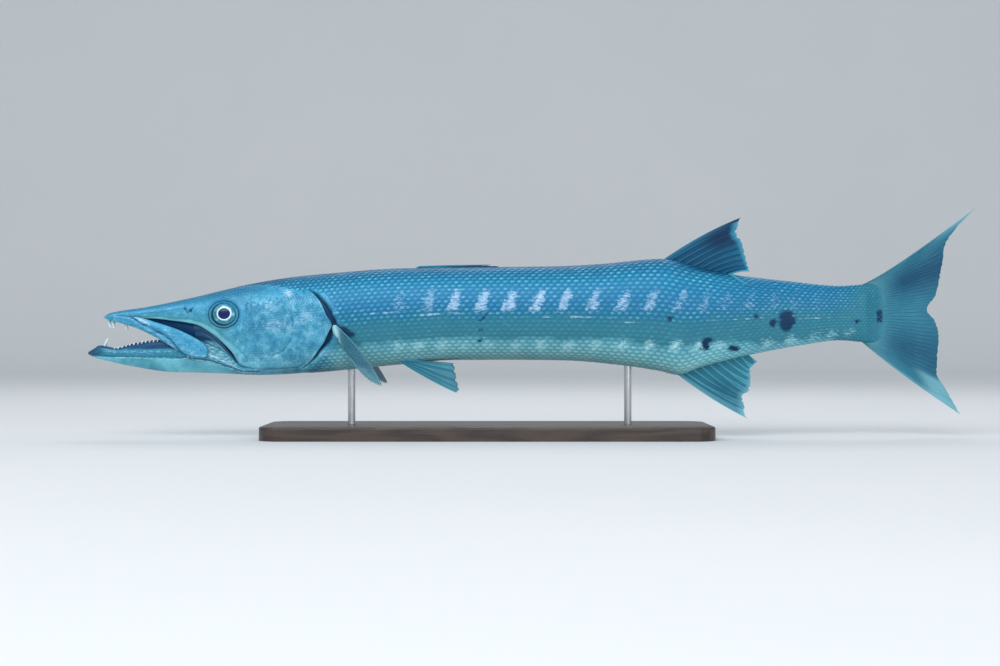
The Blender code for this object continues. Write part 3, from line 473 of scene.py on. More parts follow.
# %% Skin: wet, pored, with the same markings as the scales over it, and painted glints on its fine cells
def skin_finish():
    look, tree, shader = new_look("fish_skin", Metallic=0.12, Coat_Weight=0.08, Coat_Roughness=0.22,
                                  Specular_IOR_Level=0.22)
    fine = add(tree, "TexVoronoi",
               {"Scale": 700.0, "Vector": add(tree, "TexCoord").outputs["Object"]}).outputs[0]
    # Painted highlight: the middle of each fine cell gets a glint.
    painted_glint = spread(tree, fine, 0.1, 0.7, 0.55, 0.0)
    colour, gloss = painted(tree, painted_glint)
    heights = maths(tree, "ADD", maths(tree, "MULTIPLY", fine, -0.5), noise(tree, 260.0, 5.0))
    feed(tree, shader, Base_Color=colour, Roughness=gloss, Normal=raised(tree, heights, 0.00028))
    return look


# %% Scales: each has a painted highlight on its middle, painted shade on its margin, and fine growth lines
def scale_finish():
    look, tree, shader = new_look("fish_scales", Metallic=0.16, Coat_Weight=0.08, Coat_Roughness=0.20,
                                  Specular_IOR_Level=0.24)
    edge, chance = stored(tree, "edge"), stored(tree, "chance")
    # Painted highlight on the middle, varied by chance, and painted shade on the margin.
    middle = spread(tree, edge, 0.02, 0.55, 1.0, 0.0)
    painted_glint = maths(tree, "MULTIPLY", middle, spread(tree, chance, 0.1, 0.9, 0.15, 1.0))
    colour, gloss = painted(tree, painted_glint, spread(tree, edge, 0.40, 1.0, 0.0, 0.60))
    lines = add(tree, "Math", {0: maths(tree, "MULTIPLY", edge, 42.0)}, operation="SINE").outputs[0]
    heights = maths(tree, "ADD", maths(tree, "MULTIPLY", lines, 0.12), noise(tree, 900.0, 2.0))
    feed(tree, shader, Base_Color=colour, Roughness=gloss, Normal=raised(tree, heights, 0.00010))
    return look


SKIN, SCALES = skin_finish(), scale_finish()
print("skin and scales share the group:", COLOURS.name)

# %% [markdown]
# ## Markings
#
# A great barracuda has pale bars over the upper side, a dark band along the middle, a row of pale blotches
# below it and a few ink-black spots near the tail. Each mark here is a place along the body and a height,
# with a soft edge. Skin and scales read them point by point. Each scale reads a little ahead or behind,
# which makes the edges ragged. Painted shadows behind the pectoral fins and at the foot of the second dorsal
# fin are placed the same way.

# %% Where the marks are
BARS = ((0.3885, 0.45), (0.4250, 0.70), (0.4583, 0.90), (0.4941, 1.00), (0.5293, 1.00), (0.5652, 0.95),
        (0.5997, 0.90), (0.6362, 0.85), (0.6741, 0.80), (0.7106, 0.75), (0.7477, 0.65), (0.7803, 0.50),
        (0.8064, 0.40), (0.8383, 0.40), (0.8735, 0.35), (0.8983, 0.30), (0.9283, 0.25), (0.9557, 0.20))
LOW_BLOTCHES = ((0.385, 0.75), (0.412, 0.85), (0.440, 0.75), (0.470, 0.65), (0.502, 0.65), (0.535, 0.75),
                (0.568, 0.85), (0.604, 0.90), (0.639, 0.90), (0.674, 0.90), (0.707, 0.90), (0.742, 0.95),
                (0.771, 0.90), (0.799, 0.80), (0.863, 0.75), (0.894, 0.70), (0.923, 0.60), (0.949, 0.60),
                (0.975, 0.50))
CHEEK_PATCHES = ((0.2190, 0.0098, 0.016, 0.007, 0.50), (0.2295, -0.0163, 0.022, 0.010, 0.55),
                 (0.2660, -0.0060, 0.009, 0.013, 0.45), (0.2438, 0.0254, 0.008, 0.006, 0.95),
                 (0.2295, -0.0554, 0.006, 0.004, 0.80), (0.2440, -0.0640, 0.010, 0.003, 0.55),
                 (0.1650, -0.0540, 0.012, 0.006, 0.50), (0.2280, 0.0330, 0.022, 0.003, 0.45))
SPOTS = ((0.8892, -0.0098, 0.0100, 0.0135, 0.0), (0.8704, -0.0124, 0.0050, 0.0056, 0.0),
         (1.0149, -0.0038, 0.0034, 0.0096, 0.0), (0.9837, -0.0107, 0.0030, 0.0030, 0.0),
         (0.7823, -0.0395, 0.0066, 0.0084, 0.2), (0.8188, -0.0452, 0.0090, 0.0040, -0.5),
         (0.7327, -0.0069, 0.0046, 0.0040, 0.0), (0.8475, -0.0040, 0.0032, 0.0032, 0.0),
         (0.4941, -0.0060, 0.0016, 0.0062, 0.8), (0.4930, -0.0215, 0.0018, 0.0018, 0.0),
         (0.4920, -0.0355, 0.0020, 0.0024, 0.0))
FAR_SPOTS = tuple(
    (s - 0.024, h - 0.006, wide * 0.9, tall * 0.9, -lean) for s, h, wide, tall, lean in SPOTS[::2]
)
# Painted shadows that the pectoral fins cast into the hollows behind them.
PECTORAL_SHADOWS = ((0.3130, -0.0205, 0.0085, 0.0048, -0.9), (0.3215, -0.0262, 0.0070, 0.0044, -0.9))
lateral_line = smooth((
    (0.290, 0.0035), (0.314, 0.0020), (0.458, -0.0020), (0.529, -0.0033), (0.621, -0.0066), (0.725, -0.0098),
    (0.777, -0.0098), (0.868, -0.0059), (0.962, -0.0052), (1.020, -0.0050),
))


def inside(value, half, soft):
    """1 where the value is nearer 0 than half, falling to 0 over soft."""
    return 1 - ease((np.abs(value) - half) / soft + 0.5)


def pale_marks(s, h):
    """Bars over the upper side that lean with their tops to the rear, blotches below the middle and patches
    on the cheek."""
    marks = np.zeros(np.broadcast(s, h).shape)
    for i, (place, strength) in enumerate(BARS):
        lean = 0.10 + 0.30 * min(i / 6, 1.0)
        away = s - place - lean * (h - 0.015)
        wide = 0.0084 - 0.16 * np.clip(h - 0.005, 0.0, 0.03)
        marks = np.maximum(marks,
                           0.82 * strength * inside(away, wide, 0.0050) * inside(h - 0.0165, 0.0140, 0.010))
    for place, strength in LOW_BLOTCHES:
        middle = -0.0425 + 0.13 * max(place - 0.84, 0.0)
        marks = np.maximum(marks,
                           strength * bump(s - 0.3 * (h - middle), place, 0.0090) * bump(h, middle, 0.0085))
    for place, level, long, tall, strength in CHEEK_PATCHES:
        marks = np.maximum(marks, strength * bump(s, place, long) * bump(h, level, tall))
    return np.clip(marks, 0.0, 1.0)


def spots_and_shadows(s, h, left):
    """Ink-black spots, each an upright or leaning oval with a crisp edge, and painted shadows: ovals in the
    hollows behind the pectoral fins, and a strip at the foot of the second dorsal fin. The right side has
    spots of its own."""
    marks = np.zeros(np.broadcast(s, h).shape)
    for chosen, spots in ((left, SPOTS), (~left, FAR_SPOTS), (True, PECTORAL_SHADOWS)):
        for place, middle, wide, tall, lean in spots:
            across = (s - place - lean * (h - middle)) / wide
            away = np.sqrt(across ** 2 + ((h - middle) / tall) ** 2)
            marks = np.maximum(marks, chosen * (1 - ease((away - 0.85) / 0.35)))
    # Painted shadow along the foot of the second dorsal fin.
    dorsal_foot_shadow = bump(s, 0.790, 0.026) * ease((h - back(s) + 0.0080) / 0.0050)
    return np.maximum(marks, 0.6 * dorsal_foot_shadow)


def body_marks(points, left, flesh=0.0):
    """The five numbers that the fish colours read, at points of the body, on its left side or not."""
    s, h = share_of(points[..., 0]), (points[..., 2] - AXIS_HEIGHT) / STANDARD_LENGTH
    level = np.clip((h - underside(s)) / (back(s) - underside(s)), 0.0, 1.0)
    level = level + (0.40 - level) * (0.45 * ease((s - 0.76) / 0.12) + 0.50 * ease((s - 0.93) / 0.07))
    behind_eye = ease((s - 0.150) / 0.05) * (1 - ease((s - 0.290) / 0.020))
    silver = behind_eye * ease((0.030 - h) / 0.016) * 0.85
    snout_side = ease((level - 0.2) / 0.2) * ease((0.84 - level) / 0.2)
    silver = silver + 0.50 * (1 - ease((s - 0.15) / 0.04)) * snout_side
    head_top = 0.34 * (1 - ease((s - 0.17) / 0.08)) * ease((level - 0.66) / 0.22)
    dark = np.maximum(spots_and_shadows(s, h, left), head_top)
    return level, pale_marks(s, h), dark, np.clip(silver, 0.0, 1.0), flesh + 0 * s


print("bars:", len(BARS), "blotches:", len(LOW_BLOTCHES), "spots:", len(SPOTS))

# %% [markdown]
# ## The head's relief
#
# The gill cover's free edge, the slit behind it, the creases of the cheek bones and the nostrils are
# changes of the skin's height, so they are written as functions of place: a groove is a bell across the
# distance to its line. Their hollows are also darkened with painted shade.

# %% Grooves and the gill slit
GILL_EDGE = (
    (0.2673, 0.0306), (0.2777, 0.0235), (0.2875, 0.0110), (0.2940, -0.0033), (0.3009, -0.0159),
    (0.2970, -0.0230), (0.2907, -0.0365), (0.2836, -0.0463), (0.2700, -0.0626), (0.2600, -0.0695),
    (0.2550, -0.0735),
)
GILL_ANGLES = [float(angle_at(s, h)) for s, h in GILL_EDGE]
gill_edge = smooth([(angle, s) for angle, (s, _) in zip(GILL_ANGLES, GILL_EDGE)])
GILL_LIFT, GILL_DEPTH = 0.0016, 0.0062
CREASES = (
    (((0.2477, 0.0085), (0.2490, 0.0000), (0.2503, -0.0111), (0.2490, -0.0319), (0.2386, -0.0476),
      (0.2229, -0.0554)), 0.8),
    (((0.2907, -0.0111), (0.2790, -0.0160), (0.2608, -0.0241), (0.2555, -0.0400), (0.2540, -0.0560)), 0.45),
    (((0.1780, -0.0700), (0.2000, -0.0735), (0.2300, -0.0722), (0.2555, -0.0695), (0.2640, -0.0640)), 0.7),
    (((0.1082, 0.0085), (0.1105, 0.0035), (0.1121, 0.0007), (0.1150, 0.0025), (0.1186, 0.0072)), 0.9),
    (((0.1850, -0.0030), (0.2100, -0.0005), (0.2400, 0.0070)), 0.25),
    (((0.0500, -0.0010), (0.0800, 0.0020), (0.1050, 0.0060)), 0.30),
    (((0.1700, -0.0250), (0.1900, -0.0300), (0.2200, -0.0290)), 0.25),
)
NOSTRILS = ((0.1085, 0.0065, 0.0018), (0.1165, 0.0040, 0.0024))


def line_distance(s, h, points):
    """How far a place is from a line through points, in metres: the least distance to its straight pieces."""
    best = np.full(np.broadcast(s, h).shape, np.inf)
    for (s0, h0), (s1, h1) in zip(points, points[1:]):
        ds, dh = s1 - s0, h1 - h0
        t = np.clip(((s - s0) * ds + (h - h0) * dh) / (ds * ds + dh * dh), 0.0, 1.0)
        best = np.minimum(best, np.hypot(s - s0 - t * ds, h - h0 - t * dh))
    return best * STANDARD_LENGTH


def slit_shape(s, angle):
    """How much of the gill cover there is at a place, and how deep the slit behind its edge is there, each
    0 to 1."""
    round_it = folded(angle)
    reach = ease((round_it - GILL_ANGLES[0] + 0.02) / 0.14) * ease((GILL_ANGLES[-1] + 0.02 - round_it) / 0.14)
    behind = (s - gill_edge(round_it)) * STANDARD_LENGTH
    turn = round_it - GILL_ANGLES[3]
    wide = 0.0060 + 0.0040 * bump(turn, -0.10, 0.28) - 0.0016 * bump(turn, 0.22, 0.10)
    wide = wide + (0.0042 + 0.0012 * np.sin(turn * 70)) * bump(turn, 0.48, 0.16)
    cover = ease((s - 0.222) / 0.045) * (behind <= 1e-6) * reach
    deep = ease(behind / 0.0007) * (1 - ease((behind - wide * 0.55) / (wide * 0.75))) * reach
    return cover, deep


def relief(s, angle):
    """How far the skin stands out over the plain body, and how much painted shade darkens the hollow there.
    """
    round_it = folded(angle)
    plain = skin(s, round_it)
    h = (plain[..., 2] - AXIS_HEIGHT) / STANDARD_LENGTH
    cover, deep = slit_shape(s, angle)
    out, shade = GILL_LIFT * cover - GILL_DEPTH * deep, deep
    on_side = ease((round_it - 0.25) / 0.2) * ease((3.0 - round_it) / 0.1)
    for points, strength in CREASES:
        groove = bump(line_distance(s, h, points), 0.0, 0.0011) * strength * on_side
        out = out - 0.0011 * groove
        shade = np.maximum(shade, groove * 0.75)
    for place, level, radius in NOSTRILS:
        away = np.hypot(s - place, h - level) * STANDARD_LENGTH / radius
        pit = (1 - ease((away - 0.35) / 0.65)) * (round_it < 2.0)
        out, shade = out - 0.0022 * pit + 0.0006 * bump(away, 1.35, 0.3), np.maximum(shade, pit)
    return out, shade


print("gill edge runs from", np.round(np.degrees(GILL_ANGLES[0])), "to",
      np.round(np.degrees(GILL_ANGLES[-1])), "degrees")

# %% [markdown]
# ## Where the eye sits
#
# The eye is a lens in a shallow bowl of the head. Its own directions, ahead, outwards and up, come from the
# skin there, so eye, rim and bowl tilt together with the head's side.

# %% The eye's own frame
EYE_PLACE = (0.1600, -0.0014)
EYE_RADII, ORBIT_RADII = (0.0168, 0.0150), (0.0191, 0.0166)
EYE_DOME, EYE_DEPTH, EYE_SUNK = 0.0048, 0.0085, 0.0016


def eye_directions():
    """The eye's middle on the left skin, and the directions ahead, out and up there."""
    s, angle, step = EYE_PLACE[0], float(angle_at(*EYE_PLACE)), 0.004
    ahead = (skin(s + step, angle) - skin(s - step, angle)) * (1, 1, 0)
    ahead /= np.linalg.norm(ahead)
    out = np.cross(ahead, skin(s, angle - 0.05) - skin(s, angle + 0.05))
    out *= -np.sign(out[1]) / np.linalg.norm(out)
    up = np.cross(ahead, out)
    return skin(s, angle), ahead, out, up * np.sign(up[2])


EYE_MIDDLE, AHEAD, OUT, UP = eye_directions()


def mirrored(table):
    """The same points on the other side of the fish's middle plane."""
    table = np.array(table, float)
    table[..., 1] = 2 * sway(share_of(table[..., 0])) - table[..., 1]
    return table


def eye_reach(points):
    """How far points of the left side are from the eye's middle, 1 on the outer edge of its rim."""
    away = points - EYE_MIDDLE
    return np.hypot(away @ AHEAD / ORBIT_RADII[0], away @ UP / ORBIT_RADII[1])


print("eye at", np.round(EYE_MIDDLE, 4).tolist())

# %% [markdown]
# ## One skin for head, body and tail root
#
# The real skin has no seams, so one mesh takes the place of all the solids of flesh: a grid of lines along
# the body and angles round it. Its lines crowd together at the snout, the eye and the gill cover's edge,
# where the shape changes quickly, and near the gills they bend to follow that edge. The skin lies half a
# millimetre inside the solids, to leave room for the scales.

# %% Lines of the skin's grid
COAT = 0.0005
AROUND = 144
EDGE_STEPS = (-6, -4, -2.6, -1.6, -0.9, -0.4, -0.1, 0, 0.08, 0.3, 0.6, 0.9, 1.4, 2, 2.6, 3.2, 3.8, 4.5, 5.2,
              6, 7, 8.5, 10)
SKIN_LINES = np.concatenate([
    np.linspace(0.0, 0.012, 9, endpoint=False), np.linspace(0.012, 0.125, 72, endpoint=False),
    np.linspace(0.125, 0.196, 66, endpoint=False), np.linspace(0.196, 0.286, 52, endpoint=False),
    0.2940 + np.array(EDGE_STEPS) / 1000 / STANDARD_LENGTH, np.linspace(0.306, 1.0278, 150),
])


def bent(s, angle):
    """A line's place along the body at an angle round it, pulled to the gill edge near the line that
    follows it."""
    pull = ease((s - 0.215) / 0.075) * (1 - ease((s - 0.300) / 0.060))
    return s + pull * (gill_edge(folded(angle)) - 0.2940)


def flesh_inside(s, angle):
    """1 on the roof of the mouth and the throat's front wall, where the skin is painted with the mouth's
    shade, 0 on the outer skin.
    """
    under = ease((folded(angle) - 2.05 - 0.25 * ease((s - 0.10) / 0.06)) / 0.16)
    return under * ease((s - 0.004) / 0.008) * (1 - ease((s - 0.168) / 0.012))


def main_skin():
    """The grid of body skin: plain skin, plus the relief, with a bowl for each eye and a throat that runs
    inwards."""
    line, angle = np.meshgrid(SKIN_LINES, np.linspace(0, 2 * math.pi, AROUND, endpoint=False), indexing="ij")
    s = bent(line, angle)
    out, shade = relief(s, angle)
    left_twin = skin(s, folded(angle))
    near = eye_reach(left_twin)
    bowl = (left_twin[..., 1] < 0) * ((1 - ease((near - 0.70) / 0.25)) * 0.0052
                                      + (1 - ease((near - 1.18) / 0.16)) * 0.0012)
    tip = -0.0016 * (1 - ease(s / 0.006))
    points = skin(s, angle, out - COAT - bowl + tip)
    level, pale, dark, silver, flesh = body_marks(points, angle < math.pi, flesh_inside(s, angle))
    # The throat runs inwards and takes the mouth's painted shade.
    throat = bump(s, 0.158, 0.012) * bump(folded(angle), math.pi, 0.55)
    points[..., 0] += 0.016 * throat
    # The painted shade of slit, creases and nostrils joins the dark marks.
    dark = np.maximum(dark, shade)
    silver = silver * (1 - flesh)
    return tube(with_values(points, level, pale, dark, silver, np.maximum(flesh, throat)))


# %% The rim of skin round each eye
def orbit(side):
    """A ring on the head's own surface. Across it, from the eyeball outwards: a wall down beside the eye, a
    rounded rim, a groove, a second low fold, and a flat edge that dips under the main skin. The wall and the
    groove are darkened with painted shade."""
    profile = smooth((
        (0.74, -0.0050), (0.86, -0.0022), (0.93, 0.0003), (0.99, 0.0010), (1.05, 0.0004), (1.10, -0.0010),
        (1.16, -0.0006), (1.24, 0.0002), (1.34, 0.0000), (1.46, -0.0009),
    ))
    turn, ring = np.meshgrid(np.linspace(0, 2 * math.pi, 120, endpoint=False), np.linspace(0.74, 1.46, 40),
                             indexing="ij")
    ahead, up = np.cos(turn)[..., None] * ORBIT_RADII[0], np.sin(turn)[..., None] * ORBIT_RADII[1]
    across = ring[..., None] * (ahead * AHEAD + up * UP)
    flat = EYE_MIDDLE + across
    s, h = share_of(flat[..., 0]), (flat[..., 2] - AXIS_HEIGHT) / STANDARD_LENGTH
    top = skin(s, angle_at(s, h), -COAT) + profile(ring)[..., None] * OUT
    # Painted shade in the groove and down the wall beside the eye.
    groove = np.maximum(bump(ring, 1.105, 0.045), ease((0.88 - ring) / 0.08)) * 0.9
    level, pale, dark, silver, flesh = body_marks(top, np.full(turn.shape, True))
    front = with_values(top, level * 0.9, pale, np.maximum(groove, dark), silver * 0.4, flesh)
    behind = front.copy()
    behind[..., :3] -= 0.0012 * OUT
    table = front if side < 0 else mirrored(front)
    under = behind if side < 0 else mirrored(behind)
    rows = np.concatenate([table, under[:, ::-1]], axis=1)
    count, wide = rows.shape[:2]
    closed = grid_faces(wide, count, True)
    return np.swapaxes(rows, 0, 1).reshape(wide * count, -1), [closed, seam(wide, count)]


def seam(rows, columns):
    """Quads that join the last row of a grid, closed round its columns, to its first."""
    j = np.arange(columns)
    after, hind = (j + 1) % columns, (rows - 1) * columns
    return np.stack([hind + j, j, after, hind + after], 1)


# %% [markdown]
# ## Jaws
#
# The lower jaw is a trough: its section starts at the gum, bulges at the lip, has a long crease below it
# and closes at the keel, then comes back up inside. Along each side of the upper jaw lies a strap of bone
# with a groove along it, which widens to a paddle. Both are sections carried along the jaw.

# %% The lower jaw's skin
jaw_rim = smooth((
    (-0.0201, -0.0515), (-0.0117, -0.0469), (-0.0043, -0.0429), (0.0039, -0.0443), (0.0183, -0.0467),
    (0.0361, -0.0437), (0.0535, -0.0405), (0.0730, -0.0382), (0.1056, -0.0365), (0.1186, -0.0352),
    (0.1291, -0.0363), (0.1382, -0.0395), (0.1482, -0.0440), (0.1565, -0.0480), (0.1695, -0.0580),
    (0.1775, -0.0660), (0.1840, -0.0700), (0.2150, -0.0730),
))
jaw_keel = smooth((
    (-0.0201, -0.0528), (-0.0163, -0.0552), (0.000, -0.0606), (0.0495, -0.0711), (0.0887, -0.0763),
    (0.1330, -0.0773), (0.1780, -0.0792), (0.1960, -0.0800), (0.2150, -0.0770),
))
jaw_half = smooth((
    (-0.0201, 0.0015), (-0.0117, 0.0060), (0.000, 0.0085), (0.0183, 0.0108), (0.0430, 0.0135),
    (0.0730, 0.0168), (0.1000, 0.0200), (0.1252, 0.0228), (0.1513, 0.0245), (0.1840, 0.0232),
    (0.2000, 0.0205), (0.2150, 0.0140),
))
lip_line = smooth(((-0.0201, -0.0520), (0.0000, -0.0470), (0.0200, -0.0486), (0.1000, -0.0480),
                   (0.1300, -0.0500), (0.1840, -0.0720)))
crease_line = smooth(((-0.0201, -0.0540), (0.0130, -0.0562), (0.0990, -0.0576), (0.1300, -0.0600),
                      (0.1840, -0.0760)))
JAW_WALL, JAW_FLOOR = 0.0045, 0.42


def lower_jaw():
    """Rings of one section each: the outside from gum to keel to gum, then the trough's inside, back
    again."""
    s = np.concatenate([np.linspace(-0.0200, 0.0, 22, endpoint=False),
                        np.linspace(0.0, 0.2140, 106)])[:, None]
    turn = np.linspace(0.0, math.pi, 61)[None, :]
    rim, keel, half = height(jaw_rim(s)), height(jaw_keel(s)), jaw_half(s) * STANDARD_LENGTH
    z = rim - (rim - keel) * np.sin(turn) ** 0.75
    h = (z - AXIS_HEIGHT) / STANDARD_LENGTH
    size = ease((half - 0.002) / 0.006)
    lip = 0.0013 * bump(h, lip_line(s) - 0.0012, 0.0030) - 0.0012 * bump(h, crease_line(s), 0.0010)
    folds = 0.0004 * np.sin(s * 520 + h * 300) * bump(h, -0.0620, 0.0035) * ease((s - 0.04) / 0.03)
    y = (half + (lip + folds) * size) * np.cos(turn)
    hollow = ease((s + 0.004) / 0.012) * (1 - ease((s - 0.140) / 0.020))
    inner = np.maximum(half - JAW_WALL * (0.4 + 0.6 * hollow), half * 0.4)
    depth = np.maximum((rim - keel) * (1 - JAW_FLOOR) * hollow, 0.0)
    back_turn = np.linspace(math.pi, 0.0, 41)[None, :]
    toothed = ease((s - 0.010) / 0.03) * (1 - ease((s - 0.105) / 0.03))
    at_edge = bump(np.minimum(back_turn, math.pi - back_turn), 0.03, 0.09)
    gum = (0.0008 + 0.0036 * toothed * (0.85 + 0.15 * np.sin(s * 900))) * at_edge
    inside_y, inside_z = inner * np.cos(back_turn), rim + 0.0006 + gum - depth * np.sin(back_turn) ** 0.6
    y, z = np.concatenate([y, inside_y], axis=1), np.concatenate([z, inside_z], axis=1)
    points = np.stack([along(s) + 0 * y, y, z], axis=-1)
    h = (z - AXIS_HEIGHT) / STANDARD_LENGTH
    within = np.arange(y.shape[1])[None, :] >= 61
    # The gums and the trough's inside take the mouth's painted shade.
    gums = ease((h - lip_line(s) - 0.0010) / 0.0016) * ease((s + 0.008) / 0.01)
    flesh = np.where(within, 1.0, np.clip(gums, 0.0, 1.0) * 0.9 * (1 - ease((s - 0.120) / 0.020)))
    # Painted shadow along the crease; painted highlights in a thin bright line just below it and a pale
    # stripe along the lip.
    crease = bump(h, crease_line(s) + 0.0010, 0.0008) * 0.45
    shine = 0.80 * bump(h, crease_line(s) - 0.0006, 0.0008) * ease((s - 0.005) / 0.02)
    shine = 0.55 * bump(h, lip_line(s) - 0.0015, 0.0010) + shine
    corner = 0.46 * ease((s - 0.115) / 0.03) * (1 - ease((s - 0.168) / 0.025))
    corner = corner * ease((h - crease_line(s)) / 0.004)
    level = np.where(within, 0.3, 0.225 + 0.24 * ease((h - crease_line(s) + 0.0015) / 0.0030) * (1 - corner))
    tip_dark = 0.75 * (1 - ease((s + 0.010) / 0.018)) * ease((h + 0.0560) / 0.003)
    dark = np.maximum(crease * ~within, tip_dark)
    return tube(with_values(points, level, np.clip(shine + corner, 0, 1) * ~within, dark, 0.10, flesh))


# %% The straps of the upper jaw
strap_line = smooth((
    (0.0156, -0.0066), (0.0430, -0.0111), (0.0730, -0.0215), (0.0978, -0.0326), (0.1121, -0.0404),
    (0.1252, -0.0463), (0.1369, -0.0521), (0.1395, -0.0534),
))
strap_half = smooth((
    (0.0156, 0.0035), (0.0430, 0.0066), (0.0730, 0.0092), (0.0978, 0.0118), (0.1121, 0.0128),
    (0.1252, 0.0115), (0.1369, 0.0062), (0.1395, 0.0012),
))
strap_side = smooth((
    (0.0156, 0.0110), (0.0430, 0.0143), (0.0730, 0.0184), (0.0978, 0.0228), (0.1121, 0.0246),
    (0.1252, 0.0260), (0.1395, 0.0270),
))
strap_groove = smooth(((0.0156, 1.2), (0.0352, 0.95), (0.0521, 0.05), (0.0887, -0.32), (0.1121, -0.97),
                       (0.1395, -1.2)))
STRAP_THICKNESS = 0.0046


def strap(side):
    """Rings of a flattened bar whose outer face has a lengthwise groove and a swell on each side of it."""
    s = np.concatenate([np.linspace(0.0150, 0.125, 64, endpoint=False),
                        np.linspace(0.125, 0.1394, 18)])[:, None]
    turn = np.linspace(0, 2 * math.pi, 44, endpoint=False)[None, :]
    slope = (strap_line(s + 0.002) - strap_line(s - 0.002)) / 0.004
    rise = np.sign(np.cos(turn)) * np.abs(np.cos(turn)) ** 0.8
    reach = np.sign(np.sin(turn)) * np.abs(np.sin(turn)) ** 0.7
    tall = strap_half(s) * STANDARD_LENGTH
    wide = STRAP_THICKNESS / 2 * np.minimum(1.0, tall / 0.006)
    outer = ease(-side * -reach * 3)
    groove = bump(rise, strap_groove(s), 0.10) * outer
    swell = 0.0009 * (bump(rise, strap_groove(s) + 0.45, 0.3)
                      + bump(rise, strap_groove(s) - 0.45, 0.3)) * outer
    flat = reach * wide + side * (swell - 0.0014 * groove) * ease(tall / 0.006)
    points = np.stack([
        along(s) - slope * rise * tall / np.hypot(slope, 1.0),
        side * strap_side(s) * STANDARD_LENGTH + flat,
        height(strap_line(s)) + rise * tall / np.hypot(slope, 1.0),
    ], axis=-1)
    points[..., 1] += side * COAT * 0.5
    # Painted highlights: a white patch near the strap's front and pale lines along the two swells.
    shine = bump(s, 0.047, 0.011) * bump(rise, strap_groove(s) + 0.55, 0.35) * 0.95
    ridge = 0.42 * bump(rise, strap_groove(s) - 0.40, 0.20) + 0.34 * bump(rise, strap_groove(s) + 0.5, 0.25)
    level = 0.60 + 0.12 * rise + 0 * s
    # The inner face, toward the mouth, takes the mouth's painted shade, and the groove is darkened with
    # painted shade.
    inner = 1 - ease(0.5 + side * reach * 4)
    return tube(with_values(points, level, np.clip(shine + ridge, 0, 1), groove * 0.9, 0.35, inner * 0.9))


# %% A fold of skin behind each strap, at the corner of the mouth
def mouth_corner(side):
    """A thin wrinkled sheet that hangs from the cheek's edge down to the lower jaw, inside the strap's
    end. Its upper part, most of all at the front, is painted dark as the shade in the gap of the mouth."""
    u, v = np.meshgrid(np.linspace(0.0, 1.0, 40), np.linspace(0.0, 1.0, 26), indexing="ij")
    s = 0.118 + 0.074 * u + 0.006 * v
    top = np.maximum(underside(s) + 0.009, -0.0600)
    h = top + (jaw_rim(s) - 0.004 - top) * v
    wrinkle = 0.0003 * np.sin(v * 21 + 4 * np.sin(u * 5)) * np.sin(v * math.pi)
    wide = half_width(s) * (0.80 - 0.22 * ease((s - 0.166) / 0.022))
    y = (wide + 0.0012 * np.sin(v * math.pi)) * STANDARD_LENGTH - 0.0026 + wrinkle
    front = np.stack([along(s), side * y, height(h)], axis=-1)
    behind = front - np.array([0.0, side * 0.0010, 0.0])
    pale = bump(v, 0.72, 0.12) * 0.35
    # Painted shade of the mouth's gap over the sheet's upper part.
    dark = ease((0.46 + 0.55 * (1 - ease(u / 0.50)) - v) / 0.16) * 0.95
    return plate(*(with_values(sheet, 0.25, pale, dark, 0.2, 0.25) for sheet in (front, behind)))


FLESH_NODES = (
    "head", "upper_jaw_left", "upper_jaw_right", "lower_jaw", "gill_cover_left", "gill_cover_right",
    "body_shoulder",
    "body_middle", "body_rear", "tail_stalk",
)
skin_parts = [main_skin(), orbit(-1), orbit(1), lower_jaw(), strap(-1), strap(1), mouth_corner(-1),
              mouth_corner(1)]
make_piece("fish_skin", skin_parts, MARKS, SKIN, FLESH_NODES, sharp=60)

# %% [markdown]
# ## Eyes
#
# A barracuda's eye is a wide, slightly flattened lens. Here it is one glossy closed form, a low dome in
# front and a deeper one behind. Its finish paints by the distance from the middle: pupil, bright ring, iris
# with streaks, dark rim. The clear coat on the shader stands for the cornea.

# %% Eyeballs painted by distance from the middle
def eyeball(side):
    """Rings from the front pole over the rim to the back pole. The pupil bulges a little from the domed
    front."""
    polar = np.concatenate([np.linspace(0.001, 0.5, 34, endpoint=False),
                            np.linspace(0.5, 0.995, 18)]) * math.pi
    turn = np.linspace(0, 2 * math.pi, 72, endpoint=False)
    reach, depth = np.sin(polar)[:, None], np.cos(polar)[:, None]
    rise = np.where(depth > 0, EYE_DOME * depth + 0.0005 * bump(reach, 0.0, 0.45),
                    EYE_DEPTH * depth) - EYE_SUNK
    points = EYE_MIDDLE + OUT * rise[..., None] + reach[..., None] * (
        np.cos(turn)[:, None] * AHEAD * EYE_RADII[0] + np.sin(turn)[:, None] * UP * EYE_RADII[1]
    )
    pupil_reach = np.hypot(reach * np.cos(turn) - 0.10, reach * np.sin(turn) - 0.06)
    table = with_values(points, reach + 0 * turn, pupil_reach, turn / (2 * math.pi) + 0 * reach)
    return tube(table if side < 0 else mirrored(table))


